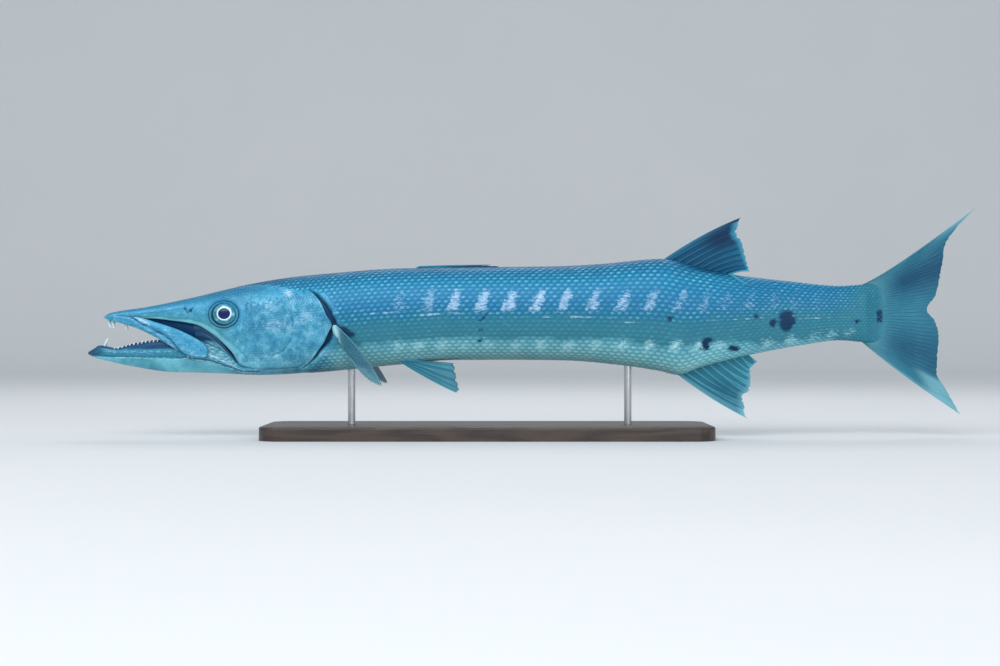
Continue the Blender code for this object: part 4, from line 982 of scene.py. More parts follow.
def eye_finish():
    look, tree, shader = new_look("eye", Coat_Weight=0.22, Coat_Roughness=0.03, Roughness=0.22,
                                  Specular_IOR_Level=0.2)
    ring, way = stored(tree, "pupil_reach"), stored(tree, "way_round")
    round_and_out = {0: maths(tree, "MULTIPLY", way, 26.0), 1: maths(tree, "MULTIPLY", ring, 3.0)}
    place = add(tree, "CombineXYZ", round_and_out).outputs[0]
    streaks = add(tree, "TexNoise", {"Vector": place, "Scale": 1.0}).outputs[0]
    waves = maths(tree, "MULTIPLY", spread(tree, streaks, 0.3, 0.7, -0.035, 0.035),
                  spread(tree, ring, 0.52, 0.68, 0.1, 1.0))
    waved = maths(tree, "ADD", ring, waves)
    iris = ramp(tree, waved, (
        (0.00, (0, 28, 84)), (0.488, (0, 34, 92)), (0.515, (228, 240, 250)), (0.585, (206, 230, 238)),
        (0.63, (72, 148, 160)),
        (0.76, (38, 112, 138)), (0.86, (66, 146, 168)), (0.93, (30, 92, 122)), (1.00, (8, 44, 74)),
    ))
    patches = spread(tree, noise(tree, 95.0, 2.0), 0.52, 0.70, 0.0, 0.75)
    on_iris = spread(tree, maths(tree, "ABSOLUTE", maths(tree, "SUBTRACT", ring, 0.73)), 0.05, 0.16, 1.0, 0.0)
    colour = mix(tree, maths(tree, "MULTIPLY", patches, on_iris), iris, linear(170, 214, 198))
    feed(tree, shader, Base_Color=colour,
         Normal=raised(tree, maths(tree, "MULTIPLY", streaks, on_iris), 0.0003))
    tree.links.new(spread(tree, on_iris, 0.0, 1.0, 0.0, 0.45), shader.inputs["Metallic"])
    return look


EYE = eye_finish()
for side, hand in ((-1, "left"), (1, "right")):
    make_piece("eyeball_" + hand, [eyeball(side)], ("reach", "pupil_reach", "way_round"), EYE,
               ("eye_" + hand,))

# %% [markdown]
# ## Teeth and tongue
#
# The teeth show from the side as separate fangs at the snout, one pair of tall fangs on the chin, and rows
# of small blades along the jaws. Each is a curved cone, flat from side to side, and all are worked out in
# one go from their roots, tips and widths.

# %% Curved teeth
def curved_teeth(roots, tips, half, hook, rings=9, around=10):
    """Cones whose middle line runs from root to tip and swings backwards by hook in the middle. Half the
    width falls as the square root of what is left of the length, so the point stays keen but whole."""
    roots, tips = np.array(roots, float)[:, None, None], np.array(tips, float)[:, None, None]
    half, hook = np.array(half)[:, None, None, None], np.array(hook)[:, None, None, None]
    t = np.linspace(0.0, 0.985, rings)[None, :, None, None]
    turn = np.linspace(0, 2 * math.pi, around, endpoint=False)[None, None, :, None]
    middle = roots + (tips - roots) * t - np.array([1.0, 0, 0]) * hook * 4 * t * (1 - t)
    wide = half * np.sqrt(1 - t) * (1 - 0.25 * t)
    rows = middle + wide * (np.cos(turn) * np.array([1.0, 0, 0]) + 0.6 * np.sin(turn) * np.array([0, 1.0, 0]))
    made = [tube(with_values(one, np.linspace(0, 1, rings)[:, None])) for one in rows]
    return made


def upper_tooth_rows():
    """Roots, tips, half widths and hooks of the teeth of the upper jaw on one side."""
    fangs = ((0.0075, 0.0058, 0.0094, 0.0016), (0.0128, 0.0070, 0.0100, 0.0016),
             (0.0288, 0.0080, 0.0122, 0.0017),
             (0.0200, 0.0074, 0.0040, 0.0010))
    roots = [(along(s), y, height(underside(s)) + 0.0030) for s, y, _, _ in fangs]
    tips = [(along(s) + 0.0022, y * 0.94, height(underside(s)) - long) for s, y, long, _ in fangs]
    half, hook = [fang[3] for fang in fangs], [0.0009] * len(fangs)
    for i in range(16):
        s = 0.036 + 0.0055 * i
        low = height(strap_line(s)) - strap_half(s) * STANDARD_LENGTH * 1.08
        y = strap_side(s) * STANDARD_LENGTH - 0.0008
        roots.append((along(s), y, low + 0.0020))
        tips.append((along(s) + 0.0010, y, low - 0.0026 - 0.0006 * math.sin(i * 2.4)))
        half.append(0.0009)
        hook.append(0.0002)
    for i in range(5):
        s = 0.050 + 0.015 * i
        roots.append((along(s), half_width(s) * 0.42 * STANDARD_LENGTH, height(palate(s)) + 0.0020))
        tips.append((along(s) + 0.0020, half_width(s) * 0.42 * STANDARD_LENGTH,
                     height(palate(s)) - 0.0052 + 0.0006 * i))
        half.append(0.0013)
        hook.append(0.0003)
    return roots, tips, half, hook


def lower_tooth_rows():
    """The same for one side of the lower jaw, with the chin's fang first."""
    roots, tips = [(along(0.0005), 0.0026, height(-0.0475))], [(along(0.0058), 0.0018, height(-0.0318))]
    half, hook = [0.0026], [0.0008]
    for i in range(18):
        s = 0.0150 + 0.0052 * i
        long = 0.0026 + 0.0028 * min(i / 5, 1.0) + 0.0006 * math.sin(i * 1.9)
        y = jaw_half(s) * STANDARD_LENGTH - JAW_WALL * 0.55
        roots.append((along(s), y, height(jaw_rim(s)) - 0.0012))
        tips.append((along(s) + 0.0010, y * 0.985, height(jaw_rim(s)) + long))
        half.append(0.0016)
        hook.append(0.0003)
    return roots, tips, half, hook


def tooth_finish():
    look, tree, shader = new_look("teeth", Coat_Weight=0.5, Coat_Roughness=0.08, Subsurface_Weight=0.08)
    # Painted shade: each tooth darkens towards its root, inside the mouth, and is pale at its tip.
    shade = mix(tree, spread(tree, stored(tree, "toward_tip"), 0.1, 0.7), linear(70, 140, 168),
                linear(214, 240, 244))
    colour = mix(tree, spread(tree, noise(tree, 800.0), 0.4, 0.7, 0.0, 0.3), shade, linear(150, 205, 216))
    feed(tree, shader, Base_Color=colour, Roughness=spread(tree, noise(tree, 400.0), 0.3, 0.7, 0.18, 0.34),
         Normal=raised(tree, noise(tree, 700.0, 2.0, 0.5, (1, 1, 0.15)), 0.00012))
    return look


TEETH = tooth_finish()
for name, rows in (("teeth_upper", upper_tooth_rows()), ("teeth_lower", lower_tooth_rows())):
    parts = []
    for side in (-1, 1):
        turned = [[(x, side * y, z) for x, y, z in points] for points in rows[:2]]
        parts += curved_teeth(*turned, *rows[2:])
    make_piece(name, parts, ("toward_tip",), TEETH)


# %% The tongue and the finish of the mouth's inside
def tongue():
    """A slim tube on the trough's floor whose width and height swell behind its pointed tip, with a furrow
    on top."""
    t, turn = np.meshgrid(np.linspace(0.0, 1.0, 40), np.linspace(0, 2 * math.pi, 32, endpoint=False),
                          indexing="ij")
    s = 0.022 + 0.085 * t
    floor = height(jaw_keel(s) + (jaw_rim(s) - jaw_keel(s)) * JAW_FLOOR)
    size = np.sin(math.pi * np.minimum(0.06 + 0.80 * t, 0.5 + 0.3 * t))
    furrow = 0.0006 * size * bump(np.sin(turn), 0.0, 0.25) * (np.cos(turn) > 0)
    y = (0.0015 + 0.0043 * size) * np.sin(turn)
    z = floor + 0.0042 + (0.0006 + 0.0018 * size) * np.cos(turn) - furrow
    return tube(with_values(np.stack([along(s), y, z], axis=-1), t))


def mouth_finish():
    look, tree, shader = new_look("mouth_flesh", Coat_Weight=0.4, Coat_Roughness=0.12)
    colour = mix(tree, noise(tree, 160.0, 4.0), linear(96, 128, 158), linear(150, 176, 196))
    grains = add(tree, "TexVoronoi",
                 {"Scale": 1100.0, "Vector": add(tree, "TexCoord").outputs["Object"]}).outputs[0]
    feed(tree, shader, Base_Color=colour, Roughness=spread(tree, grains, 0.1, 0.6, 0.30, 0.46),
         Normal=raised(tree, grains, 0.0002))
    return look


make_piece("tongue_skin", [tongue()], ("toward_root",), mouth_finish(), ("tongue",))

# %% [markdown]
# ## A coat of scales
#
# About 90 scales lie along the side behind the gill cover and 64 round the trunk, smaller on the nape and
# the tail and smallest on the cheeks. Each is a thin closed tile with a rounded rear edge that rises over
# the next one's sunken front. A tile's points are placed by the skin's own formula, so it bends with the
# body, and thousands are made at once from arrays.

# %% Even places round the body
GIRTH_PLACES = np.linspace(-0.001, 1.0279, 260)
GIRTH_SHARES = np.linspace(0.0, 1.0, 49)


def girth_table():
    """For each place along the body, the angles that split its left half girth into equal lengths."""
    angles = np.linspace(0.0, math.pi, 361)
    rings = skin(GIRTH_PLACES[:, None], angles[None, :])
    steps = np.linalg.norm(np.diff(rings, axis=1), axis=-1)
    walked = np.concatenate([np.zeros((len(steps), 1)), np.cumsum(steps, axis=1)], axis=1)
    walked /= walked[:, -1:]
    return np.array([np.interp(GIRTH_SHARES, row, angles) for row in walked])


GIRTH = girth_table()


def girth_angle(s, share):
    """The angle at a share of the half girth, 0 on the back and 1 below, read from the table between its
    lines. A share below 0 or over 1 runs on over the middle line."""
    flipped = np.where(share < 0, -share, np.where(share > 1, 2 - share, share))
    i = np.clip((s - GIRTH_PLACES[0]) / (GIRTH_PLACES[1] - GIRTH_PLACES[0]), 0, len(GIRTH_PLACES) - 1.001)
    j = np.clip(flipped, 0, 0.99999) * (len(GIRTH_SHARES) - 1)
    i0, j0 = i.astype(int), j.astype(int)
    di, dj = i - i0, j - j0
    low = GIRTH[i0, j0] * (1 - dj) + GIRTH[i0, j0 + 1] * dj
    high = GIRTH[i0 + 1, j0] * (1 - dj) + GIRTH[i0 + 1, j0 + 1] * dj
    angle = low * (1 - di) + high * di
    return np.where(share < 0, -angle, np.where(share > 1, 2 * math.pi - angle, angle))


# %% Tiles for many scales at once
def tile_shape(rows, columns):
    """One scale's own plan, its distance from the middle, where the finish paints a highlight, and its faces.
    Ahead of the plan's grid of points comes the top, and one more point below closes it with a fan of
    triangles from the rim."""
    a = np.concatenate([np.linspace(-1.0, 0.2, rows - 2, endpoint=False), [0.2, 0.72, 1.0]])[-rows:]
    b = np.sin(np.linspace(-1.0, 1.0, columns) * math.pi / 2)
    a, b = np.meshgrid(a, b, indexing="ij")
    hind = (a + 1) / 2
    ahead = a - 0.42 * b ** 2 * hind ** 2
    across = b * (1 - 0.22 * hind ** 4) * (1 - 0.25 * (1 - hind) ** 2)
    edge = np.clip(np.hypot(b * 0.95, (a - 0.25) / np.where(a > 0.25, 0.75, 1.15)), 0.0, 1.0)
    number = np.arange(rows * columns).reshape(rows, columns)
    rim = np.concatenate([number[0], number[1:, -1], number[-1, -2::-1], number[-2:0:-1, 0]])
    fan = np.stack([rim, np.roll(rim, -1), np.full(len(rim), rows * columns)], 1)
    flat = [np.append(value.ravel(), 0.0) for value in (ahead, across, edge)]
    return *flat, [grid_faces(rows, columns), fan]


def scale_tiles(s, share, long, wide, rise, side, seed, plan, place, boost=0.0):
    """Scales with their roots at s and share. long and wide are half sizes, rise the heights of front and
    rear over the solids' surface, and place turns (s, share, out) into points."""
    ahead, across, edge, faces = plan
    count, each = len(s), len(ahead)
    chance = np.random.default_rng(seed).random((3, count, 1))
    long, wide = long[:, None] * (0.94 + 0.12 * chance[0]), wide[:, None] * (0.95 + 0.10 * chance[1])
    tile_s = s[:, None] + long * ahead[None, :]
    tile_share = share[:, None] + wide * across[None, :]
    hind = (ahead[None, :] + 1) / 2
    out = rise[0] + (rise[1] - rise[0]) * hind ** 1.3 - 0.00022 * across[None, :] ** 2
    out = out + 0.00012 * (chance[2] - 0.5) * hind + boost * (1 - across[None, :] ** 2)
    out[:, -1] = rise[0] - 0.0004
    points = place(tile_s, tile_share, out)
    read = points + np.array([0.005, 0.0, 0.0]) * (chance[2] - 0.5)[..., None]
    marks = list(body_marks(read, np.full(read.shape[:2], side < 0)))
    root = (place(s, share, np.zeros(count))[:, 2] - AXIS_HEIGHT) / STANDARD_LENGTH
    on_line = (np.abs(root - lateral_line(s)) * STANDARD_LENGTH < 0.0030) & (s > 0.3)
    bright = on_line[:, None] * (chance[0] > 0.45) * (0.25 + 0.75 * chance[2])
    marks[1] = np.maximum(marks[1], 0.8 * bright * (1 - ease(np.abs(across) / 0.6)))
    bake = [0.03 + 0.94 * (s[:, None] - 0.14) / 0.90 + 0.0015 * ahead,
            0.02 + 0.96 * share[:, None] + 0.0015 * across]
    table = with_values(points, *marks, edge[None, :], chance[1], *bake)
    if side > 0:
        table = mirrored(table)
    shift = (np.arange(count) * each)[:, None, None]
    joined = [(face[None] + shift).reshape(-1, face.shape[1]) for face in faces]
    return table.reshape(count * each, -1), joined


SCALE_VALUES = (*MARKS, "edge", "chance", "bake_u", "bake_v")


# %% Scales of the body and the nape
SLIT_CLEARANCE = 0.0126


def on_body(s, share, out):
    return skin(s, girth_angle(s, share), out)


def body_roots(start, end, rows):
    """Places of the body's scales from start to end: columns along it, every second row half a scale
    further back. The pitch grows from 4 mm on the nape to 9.6 mm on the flank and shrinks again on the
    tail."""
    pitch = smooth(((0.16, 0.0042), (0.24, 0.0062), (0.36, 0.0088), (0.70, 0.0096), (0.90, 0.0078),
                    (1.02, 0.0046)))
    places = [start]
    while places[-1] < end:
        places.append(places[-1] + float(pitch(places[-1])) / STANDARD_LENGTH)
    places = np.array(places)
    i, j = np.meshgrid(np.arange(len(places) - 1), np.arange(rows + 1), indexing="ij")
    s = places[i] + 0.5 * (j % 2) * (places[i + 1] - places[i])
    long = 0.86 * (places[i + 1] - places[i])
    return [value.ravel() for value in (s, j / rows, long, np.full(s.shape, 0.66 / rows))]


def body_scales(side):
    """Scales on one side. They start on the nape, and below it behind the gill slit. The scales on the very
    middle of back and belly belong to the left side's piece."""
    zones = zip(body_roots(0.165, 0.868, 32), body_roots(0.870, 1.023, 23))
    s, share, long, wide = (np.concatenate(pair) for pair in zones)
    angle = girth_angle(s, share)
    behind = (s - gill_edge(np.clip(angle, GILL_ANGLES[0], GILL_ANGLES[-1]))) * STANDARD_LENGTH
    nape = (angle < GILL_ANGLES[0] - 0.03) & (s > 0.172 + 0.10 * angle)
    throat = (angle > GILL_ANGLES[-1] + 0.02) & (s > 0.272)
    ragged_end = 1.009 + 0.016 * np.random.default_rng(17).random(len(s))
    keep = (((behind > SLIT_CLEARANCE) & (s > 0.262)) | nape | throat) & (s < ragged_end)
    keep &= (side < 0) | ((share > 0.001) & (share < 0.999))
    s, share, long, wide = (value[keep] for value in (s, share, long, wide))
    return scale_tiles(s, share, long, wide, (-0.0006, 0.0003), side, 11 + side, tile_shape(5, 5), on_body)


# %% Small scales of cheek and gill cover
def on_cheek(s, share, out):
    angle = girth_angle(s, share)
    return skin(s, angle, out + relief(s, angle)[0])


def cheek_scales(side):
    """Scales a third as large, in close rows over the cheek and the gill cover, away from eye, creases and
    lips."""
    pitch, columns = 0.0034, 50
    i, j = np.meshgrid(np.arange(60), np.arange(columns + 1), indexing="ij")
    s, share = (0.150 + (i + 0.5 * (j % 2)) * pitch / STANDARD_LENGTH).ravel(), (j / columns).ravel()
    shift = np.random.default_rng(31).random((2, len(s))) - 0.5
    s = s + 0.30 * shift[0] * pitch / STANDARD_LENGTH
    share = np.clip(share + 0.30 * shift[1] / columns, 0.0, 1.0)
    angle = girth_angle(s, share)
    points = skin(s, angle)
    h = (points[:, 2] - AXIS_HEIGHT) / STANDARD_LENGTH
    keep = (gill_edge(np.clip(angle, GILL_ANGLES[0], GILL_ANGLES[-1])) - s) * STANDARD_LENGTH > 0.0030
    keep &= (eye_reach(points) > 1.50) & (flesh_inside(s, angle) < 0.02) & (h > -0.062)
    ragged = np.random.default_rng(32).random((2, len(s)))
    keep &= (h < 0.008 + 0.19 * (s - 0.15) - 0.012 * ragged[0]) & (angle > GILL_ANGLES[0] - 0.35)
    keep &= (s > 0.168 - 0.2 * np.minimum(h + 0.02, 0.0) + 0.020 * ragged[1]) & (h > underside(s) + 0.006)
    for line, strength in CREASES:
        keep &= line_distance(s, h, line) > 0.0021 * (strength > 0.4)
    s, share = s[keep], share[keep]
    long, wide = np.full(len(s), 0.80 * pitch / STANDARD_LENGTH), np.full(len(s), 0.64 / columns)
    return scale_tiles(s, share, long, wide, (-0.0007, 0.0001), side, 21 + side, tile_shape(4, 3), on_cheek)


for side, hand in ((-1, "left"), (1, "right")):
    make_piece("scales_body_" + hand, [body_scales(side)], SCALE_VALUES, SCALES, sharp=60)
    make_piece("scales_cheek_" + hand, [cheek_scales(side)], SCALE_VALUES, SCALES, sharp=60)

# %% [markdown]
# ## Fins
#
# A fin is a thin sheet of skin on bony rays. Each ray stands up as a ridge on both faces, parts in two and
# then in four towards the margin, and the web between the rays falls short of their tips. So one formula
# gives every fin: a sheet of points from roots to tips, thickened by the height of its rays.

# %% Rays as ridges of the web
def ray_height(u, v, rays, stiff=1):
    """How high the rays stand, 0 on the web and 1 on a crest, at u from root to tip and v across. Each
    branch is a bell across v. The first few rays, the stiff ones, don't branch."""
    place = v * (rays - 1)
    nearest = np.round(place)
    offset, branches = place - nearest, nearest >= stiff
    first = 0.150 * ease((u - 0.30) / 0.45) * branches
    second = 0.075 * ease((u - 0.62) / 0.30) * branches
    wide = 0.150 - 0.090 * u ** 0.8
    crest = np.zeros(np.broadcast(u, v).shape)
    for one, two in ((-1, -1), (-1, 1), (1, -1), (1, 1)):
        crest = np.maximum(crest, bump(offset, one * first + two * second, wide))
    return crest


def fin(sheet, rays, stiff=1, root=0.0013, tip=0.00028, web=(0.00055, 0.00014), rows=52, per_ray=15,
        fringe=0.035, sunk=0.03, tones=None, flip=False, seed=1):
    """A closed fin. sheet(u, v) gives the middle points, and the two faces stand off it along its own
    normal by the half thickness. tones(u, v) says how pale and how dark the fin is. The margin is cut back
    between the rays."""
    count = (rays - 1) * per_ray + 1
    u, v = np.meshgrid(np.linspace(0.0, 1.0, rows), np.linspace(0.0, 1.0, count), indexing="ij")
    ragged = np.interp(v[0] * (rays - 1) * 2, np.arange(rays * 2),
                       np.random.default_rng(seed).random(rays * 2))
    cut = fringe * (1 - ray_height(1.0, v[0], rays, stiff)) * (0.5 + ragged) * (v[0] > 0) * (v[0] < 1)
    reach = (-sunk + (1 + sunk) * u) * (1 - cut * u ** 3)
    middle = sheet(reach, v)
    normal = np.cross(np.gradient(middle, axis=0), np.gradient(middle, axis=1))
    normal /= np.linalg.norm(normal, axis=-1, keepdims=True)
    ray = ray_height(u, v, rays, stiff)
    joints = 1 + 0.10 * np.sin(u * 150) * ease((u - 0.35) / 0.2)
    half = web[0] + (web[1] - web[0]) * u ** 0.6 + (root + (tip - root) * u ** 0.6) * ray * joints
    half *= np.where((v == 0) | (v == 1), 0.8, 1.0)
    pale, dark = tones(u, v)
    sides = [with_values(middle + way * half[..., None] * normal, ray, u, v, pale, dark) for way in (1, -1)]
    if flip:
        sides = [mirrored(face) for face in sides]
    return plate(*sides)


FIN_VALUES = ("ray", "toward_tip", "across", "pale", "dark")


def lines(roots, tips, bow):
    """Points at u along straight lines from roots to tips that swell aside by bow half way."""
    def at(u):
        u = u[..., None]
        return roots + (tips - roots) * u + bow * 4 * u * (1 - u)
    return at


def in_plane(s, h):
    """Points of the fish's middle plane."""
    return np.stack([along(s), sway(s), height(h)], axis=-1)


def fin_finish(name, web, bone, deep, light, see_through=0.0):
    """Web and rays in two colours, darkened and lightened where the fin's numbers say, with fine fibres
    along u."""
    look, tree, shader = new_look(name, Coat_Weight=0.03, Coat_Roughness=0.2, Specular_IOR_Level=0.14)
    ray, across = stored(tree, "ray"), stored(tree, "across")
    way = add(tree, "CombineXYZ", {0: maths(tree, "MULTIPLY", across, 240.0),
                                   1: maths(tree, "MULTIPLY", stored(tree, "toward_tip"), 9.0)})
    fibres = add(tree, "TexNoise", {"Vector": way.outputs[0], "Scale": 1.0, "Detail": 2.0}).outputs[0]
    colour = mix(tree, spread(tree, ray, 0.15, 0.75), linear(*web), linear(*bone))
    colour = mix(tree, spread(tree, fibres, 0.35, 0.7, 0.0, 0.30), colour, linear(*deep))
    colour = mix(tree, stored(tree, "dark"), colour, linear(*deep))
    colour = mix(tree, maths(tree, "MULTIPLY", stored(tree, "pale"),
                             spread(tree, fibres, 0.3, 0.7, 1.0, 0.7)), colour, linear(*light))
    heights = maths(tree, "ADD", maths(tree, "MULTIPLY", fibres, 0.6), noise(tree, 420.0, 3.0))
    feed(tree, shader, Base_Color=colour, Roughness=spread(tree, fibres, 0.3, 0.7, 0.34, 0.52),
         Normal=raised(tree, heights, 0.00022))
    if see_through:
        tree.links.new(spread(tree, maths(tree, "MAXIMUM", ray, stored(tree, "pale")), 0.0, 0.8,
                              1.0 - see_through, 1.0), shader.inputs["Alpha"])
    return look


DORSAL_LOOK = fin_finish("dorsal_fin", (0, 76, 112), (24, 116, 148), (0, 46, 80), (72, 158, 186))
LOWER_LOOK = fin_finish("lower_fins", (40, 118, 140), (84, 160, 178), (12, 70, 100), (128, 192, 206))
TAIL_LOOK = fin_finish("tail_fin", (44, 116, 140), (70, 142, 164), (4, 54, 90), (118, 176, 190))
PECTORAL_LOOK = fin_finish("pectoral_fins", (36, 116, 146), (132, 196, 208), (4, 58, 96), (170, 216, 228),
                           0.50)


# %% Second dorsal fin and anal fin
def second_dorsal(u, v):
    s = 0.7300 + 0.0880 * v
    roots = in_plane(s, back(s) - 0.0004)
    edge = ((0.8315, 0.1257), (0.8260, 0.1050), (0.8328, 0.0941), (0.8363, 0.0790), (0.8397, 0.0650),
            (0.8420, 0.0549))
    tip = between(edge, v)
    tips = in_plane(tip[..., 0], tip[..., 1])
    tips[..., 1] -= 0.006 * v ** 3
    bow = np.zeros_like(tips)
    bow[..., 2] = 0.0040 - 0.0025 * v
    return lines(roots, tips, bow)(u)


def anal(u, v):
    s = 0.7480 + 0.0940 * v
    roots = in_plane(s, underside(s) + 0.0004)
    edge = (
        (0.8415, -0.1379), (0.8345, -0.1140), (0.8330, -0.1080), (0.8438, -0.0985), (0.8447, -0.0821),
        (0.8438, -0.0730), (0.8530, -0.0628),
    )
    tip = between(edge, v)
    bow = np.zeros((*tip.shape[:-1], 3))
    bow[..., 2] = -0.0035 + 0.0030 * v
    return lines(roots, in_plane(tip[..., 0], tip[..., 1]), bow)(u)


def dorsal_tones(u, v):
    pale = 0.75 * ease((u - 0.86) / 0.14) * (v > 0.03) + 0.8 * bump(v, 0.0, 0.05) * (1 - u)
    pale = pale + 0.9 * ease((v - 0.93) / 0.05)
    dark = 0.75 * ease((u - 0.30) / 0.4) * ease((0.55 - v) / 0.3) + 0.25
    return np.clip(pale, 0, 1), np.clip(dark * (1 - pale), 0, 1)


def anal_tones(u, v):
    pale = 0.5 * ease((u - 0.85) / 0.15) + 0.35 * (v < 0.06)
    return np.clip(pale, 0, 1), 0.55 * bump(v, 0.25, 0.22) * ease((u - 0.2) / 0.4)


def last_ray(u, v):
    """The dorsal fin's last ray, a white ribbon that has fallen on the left flank behind the fin."""
    s = (0.8140 + 0.0060 * v) * (1 - u) + (0.8470 + 0.0012 * v) * u
    h = (back(s) - 0.0012) * (1 - u) ** 1.4 + 0.0335 * (1 - (1 - u) ** 1.4)
    return skin(s, angle_at(s, h), 0.0009 - 0.0006 * u)


def all_pale(u, v):
    return 0.95 + 0 * u, 0 * u


make_piece("dorsal_fin_soft", [
    fin(second_dorsal, 10, tones=dorsal_tones, seed=3, fringe=0.030),
    fin(last_ray, 2, tones=all_pale, root=0.0007, tip=0.0004, web=(0.0004, 0.0002), rows=24, fringe=0.0,
        sunk=0.0),
], FIN_VALUES, DORSAL_LOOK, ("dorsal_fin_second",))
make_piece("anal_fin_soft", [fin(anal, 10, tones=anal_tones, seed=5, fringe=0.035)], FIN_VALUES, LOWER_LOOK,
           ("anal_fin",))


# %% Pectoral and pelvic fins
def pectoral(u, v):
    s, h = 0.3085 + 0.0030 * v, -0.0172 - 0.0190 * v
    roots = skin(s, angle_at(s, h), 0.0024)
    tip = between(((0.3680, -0.0945), (0.3560, -0.0900), (0.3420, -0.0790), (0.3290, -0.0640)), v)
    tips = np.stack([along(tip[..., 0]), -(half_width(s) * STANDARD_LENGTH + 0.0165 - 0.004 * v),
                     height(tip[..., 1])], axis=-1)
    bow = np.zeros_like(tips)
    bow[..., 0], bow[..., 2] = 0.0040 * (1 - v), 0.0028 * (1 - v)
    return lines(roots, tips, bow)(u)


def pelvic(u, v):
    s = 0.3880 + 0.0125 * v
    roots = skin(s, math.radians(159) - 0.10 * v, 0.0010)
    tip = between(((0.4615, -0.1036), (0.4630, -0.0985), (0.4600, -0.0880), (0.4575, -0.0730),
                   (0.4550, -0.0650)), v)
    tips = np.stack([along(tip[..., 0]), -(0.0240 - 0.002 * v), height(tip[..., 1])], axis=-1)
    bow = np.zeros_like(tips)
    bow[..., 2] = -0.0022 * (1 - v)
    return lines(roots, tips, bow)(u)


def pectoral_tones(u, v):
    return np.clip(0.40 * bump(v, 0.0, 0.05) + 0.7 * (1 - ease(u / 0.12)), 0, 1), 0.35 * bump(u, 0.6, 0.4)


def pelvic_tones(u, v):
    return np.clip(0.5 * bump(v, 0.0, 0.06) + 0.15 * u, 0, 1), 0.45 * bump(v, 0.55, 0.35) * u


def pectoral_lobe(side):
    """The pad of flesh at a pectoral fin's root: an oval of the skin that swells by a half dome."""
    t, w = np.meshgrid(np.linspace(-1.0, 1.0, 40), np.linspace(-1.0, 1.0, 26), indexing="ij")
    s = 0.3070 + 0.0050 * w * np.sqrt(1.05 - t ** 2) + 0.0025 * t
    angle = angle_at(s, -0.0235 - 0.0085 * t)
    dome = np.sqrt(np.clip(1 - w ** 2, 0.0, 1.0) * np.clip(1 - t ** 2, 0.0, 1.0))
    folds = 0.0003 * np.sin(t * 26 + w * 2) * dome
    heights = (0.0003 + 0.0036 * dome + folds, -0.0008)
    faces = [with_values(skin(s, angle, out), 0.4, 0.0, 0.0, 0.85 - 0.5 * w ** 2, 0.0) for out in heights]
    return plate(*([mirrored(face) for face in faces] if side > 0 else faces))


for side, hand in ((-1, "left"), (1, "right")):
    made = [fin(pectoral, 13, tones=pectoral_tones, flip=side > 0, seed=7, root=0.0011, fringe=0.03),
            pectoral_lobe(side)]
    make_piece("pectoral_rays_" + hand, made, FIN_VALUES, PECTORAL_LOOK,
               ("pectoral_fin_" + hand,))
    made = [fin(pelvic, 6, stiff=1, tones=pelvic_tones, flip=side > 0, seed=9, per_ray=18, fringe=0.03)]
    make_piece("pelvic_rays_" + hand, made, FIN_VALUES, LOWER_LOOK, ("pelvic_fin_" + hand,))


# %% First dorsal fin, folded in its groove
def folded_dorsal():
    """A low web along the back, and five slim spines that lie along it, each past the root of the next."""
    start, end = 0.4070, 0.5140
    u, v = np.meshgrid(np.linspace(0.0, 1.0, 12), np.linspace(0.0, 1.0, 120), indexing="ij")
    s = start + (end - start) * v
    tall = 0.0030 * np.sin(0.15 + (math.pi - 0.27) * v) ** 0.6 * (1 + 0.12 * np.sin(v * 60))
    half = (0.0014 - 0.0010 * u) * (1 + 0.2 * np.sin(v * 34))
    middle = np.stack([along(s), sway(s) + 0 * u, height(back(s)) - 0.0010 + (tall + 0.0010) * u], axis=-1)
    aside = np.zeros_like(middle)
    aside[..., 1] = half
    tone = (0.2 + 0.0 * u, u, v, 0.55 * bump(v, 0.22, 0.12), 0.75 * ease((v - 0.45) / 0.2))
    parts = [plate(with_values(middle + aside, *tone), with_values(middle - aside, *tone))]
    t, turn = np.meshgrid(np.linspace(0.0, 1.0, 22), np.linspace(0, 2 * math.pi, 12, endpoint=False),
                          indexing="ij")
    for i in range(5):
        root = start + 0.003 + 0.0135 * i
        s = root + (min(root + 0.052 - 0.003 * i, end - 0.002) - root) * t
        radius = 0.0011 * np.sqrt(1 - 0.96 * t)
        y = sway(s) + 0.0007 * (-1) ** i * (1 - 2 * t) + radius * np.sin(turn)
        z = height(back(s)) + 0.0018 + 0.0014 * t + radius * np.cos(turn)
        spine = np.stack([along(s), y, z], axis=-1)
        parts.append(tube(with_values(spine, 1.0, t, 0.5, 0.45 - 0.06 * i, 0.10 * i)))
    return parts


make_piece("dorsal_fin_spiny", folded_dorsal(), FIN_VALUES, DORSAL_LOOK,
           ("dorsal_fin_first",))


# %% Tail fin
TAIL_START = 0.992


def tail_margin(v):
    edge = (
        (1.1461, 0.1412), (1.1187, 0.1136), (1.1026, 0.0874), (1.1009, 0.0721), (1.0968, 0.0497),
        (1.0910, 0.0251), (1.0791, 0.0049), (1.0910, -0.0109), (1.0950, -0.0302), (1.0936, -0.0531),
        (1.0923, -0.0795), (1.1026, -0.0966), (1.1121, -0.1124), (1.1240, -0.1331),
    )
    order = (0.0, 0.07, 0.15, 0.20, 0.29, 0.39, 0.50, 0.56, 0.64, 0.73, 0.83, 0.90, 0.95, 1.0)
    return [smooth([(o, point[k]) for o, point in zip(order, edge)])(v) for k in (0, 1)]


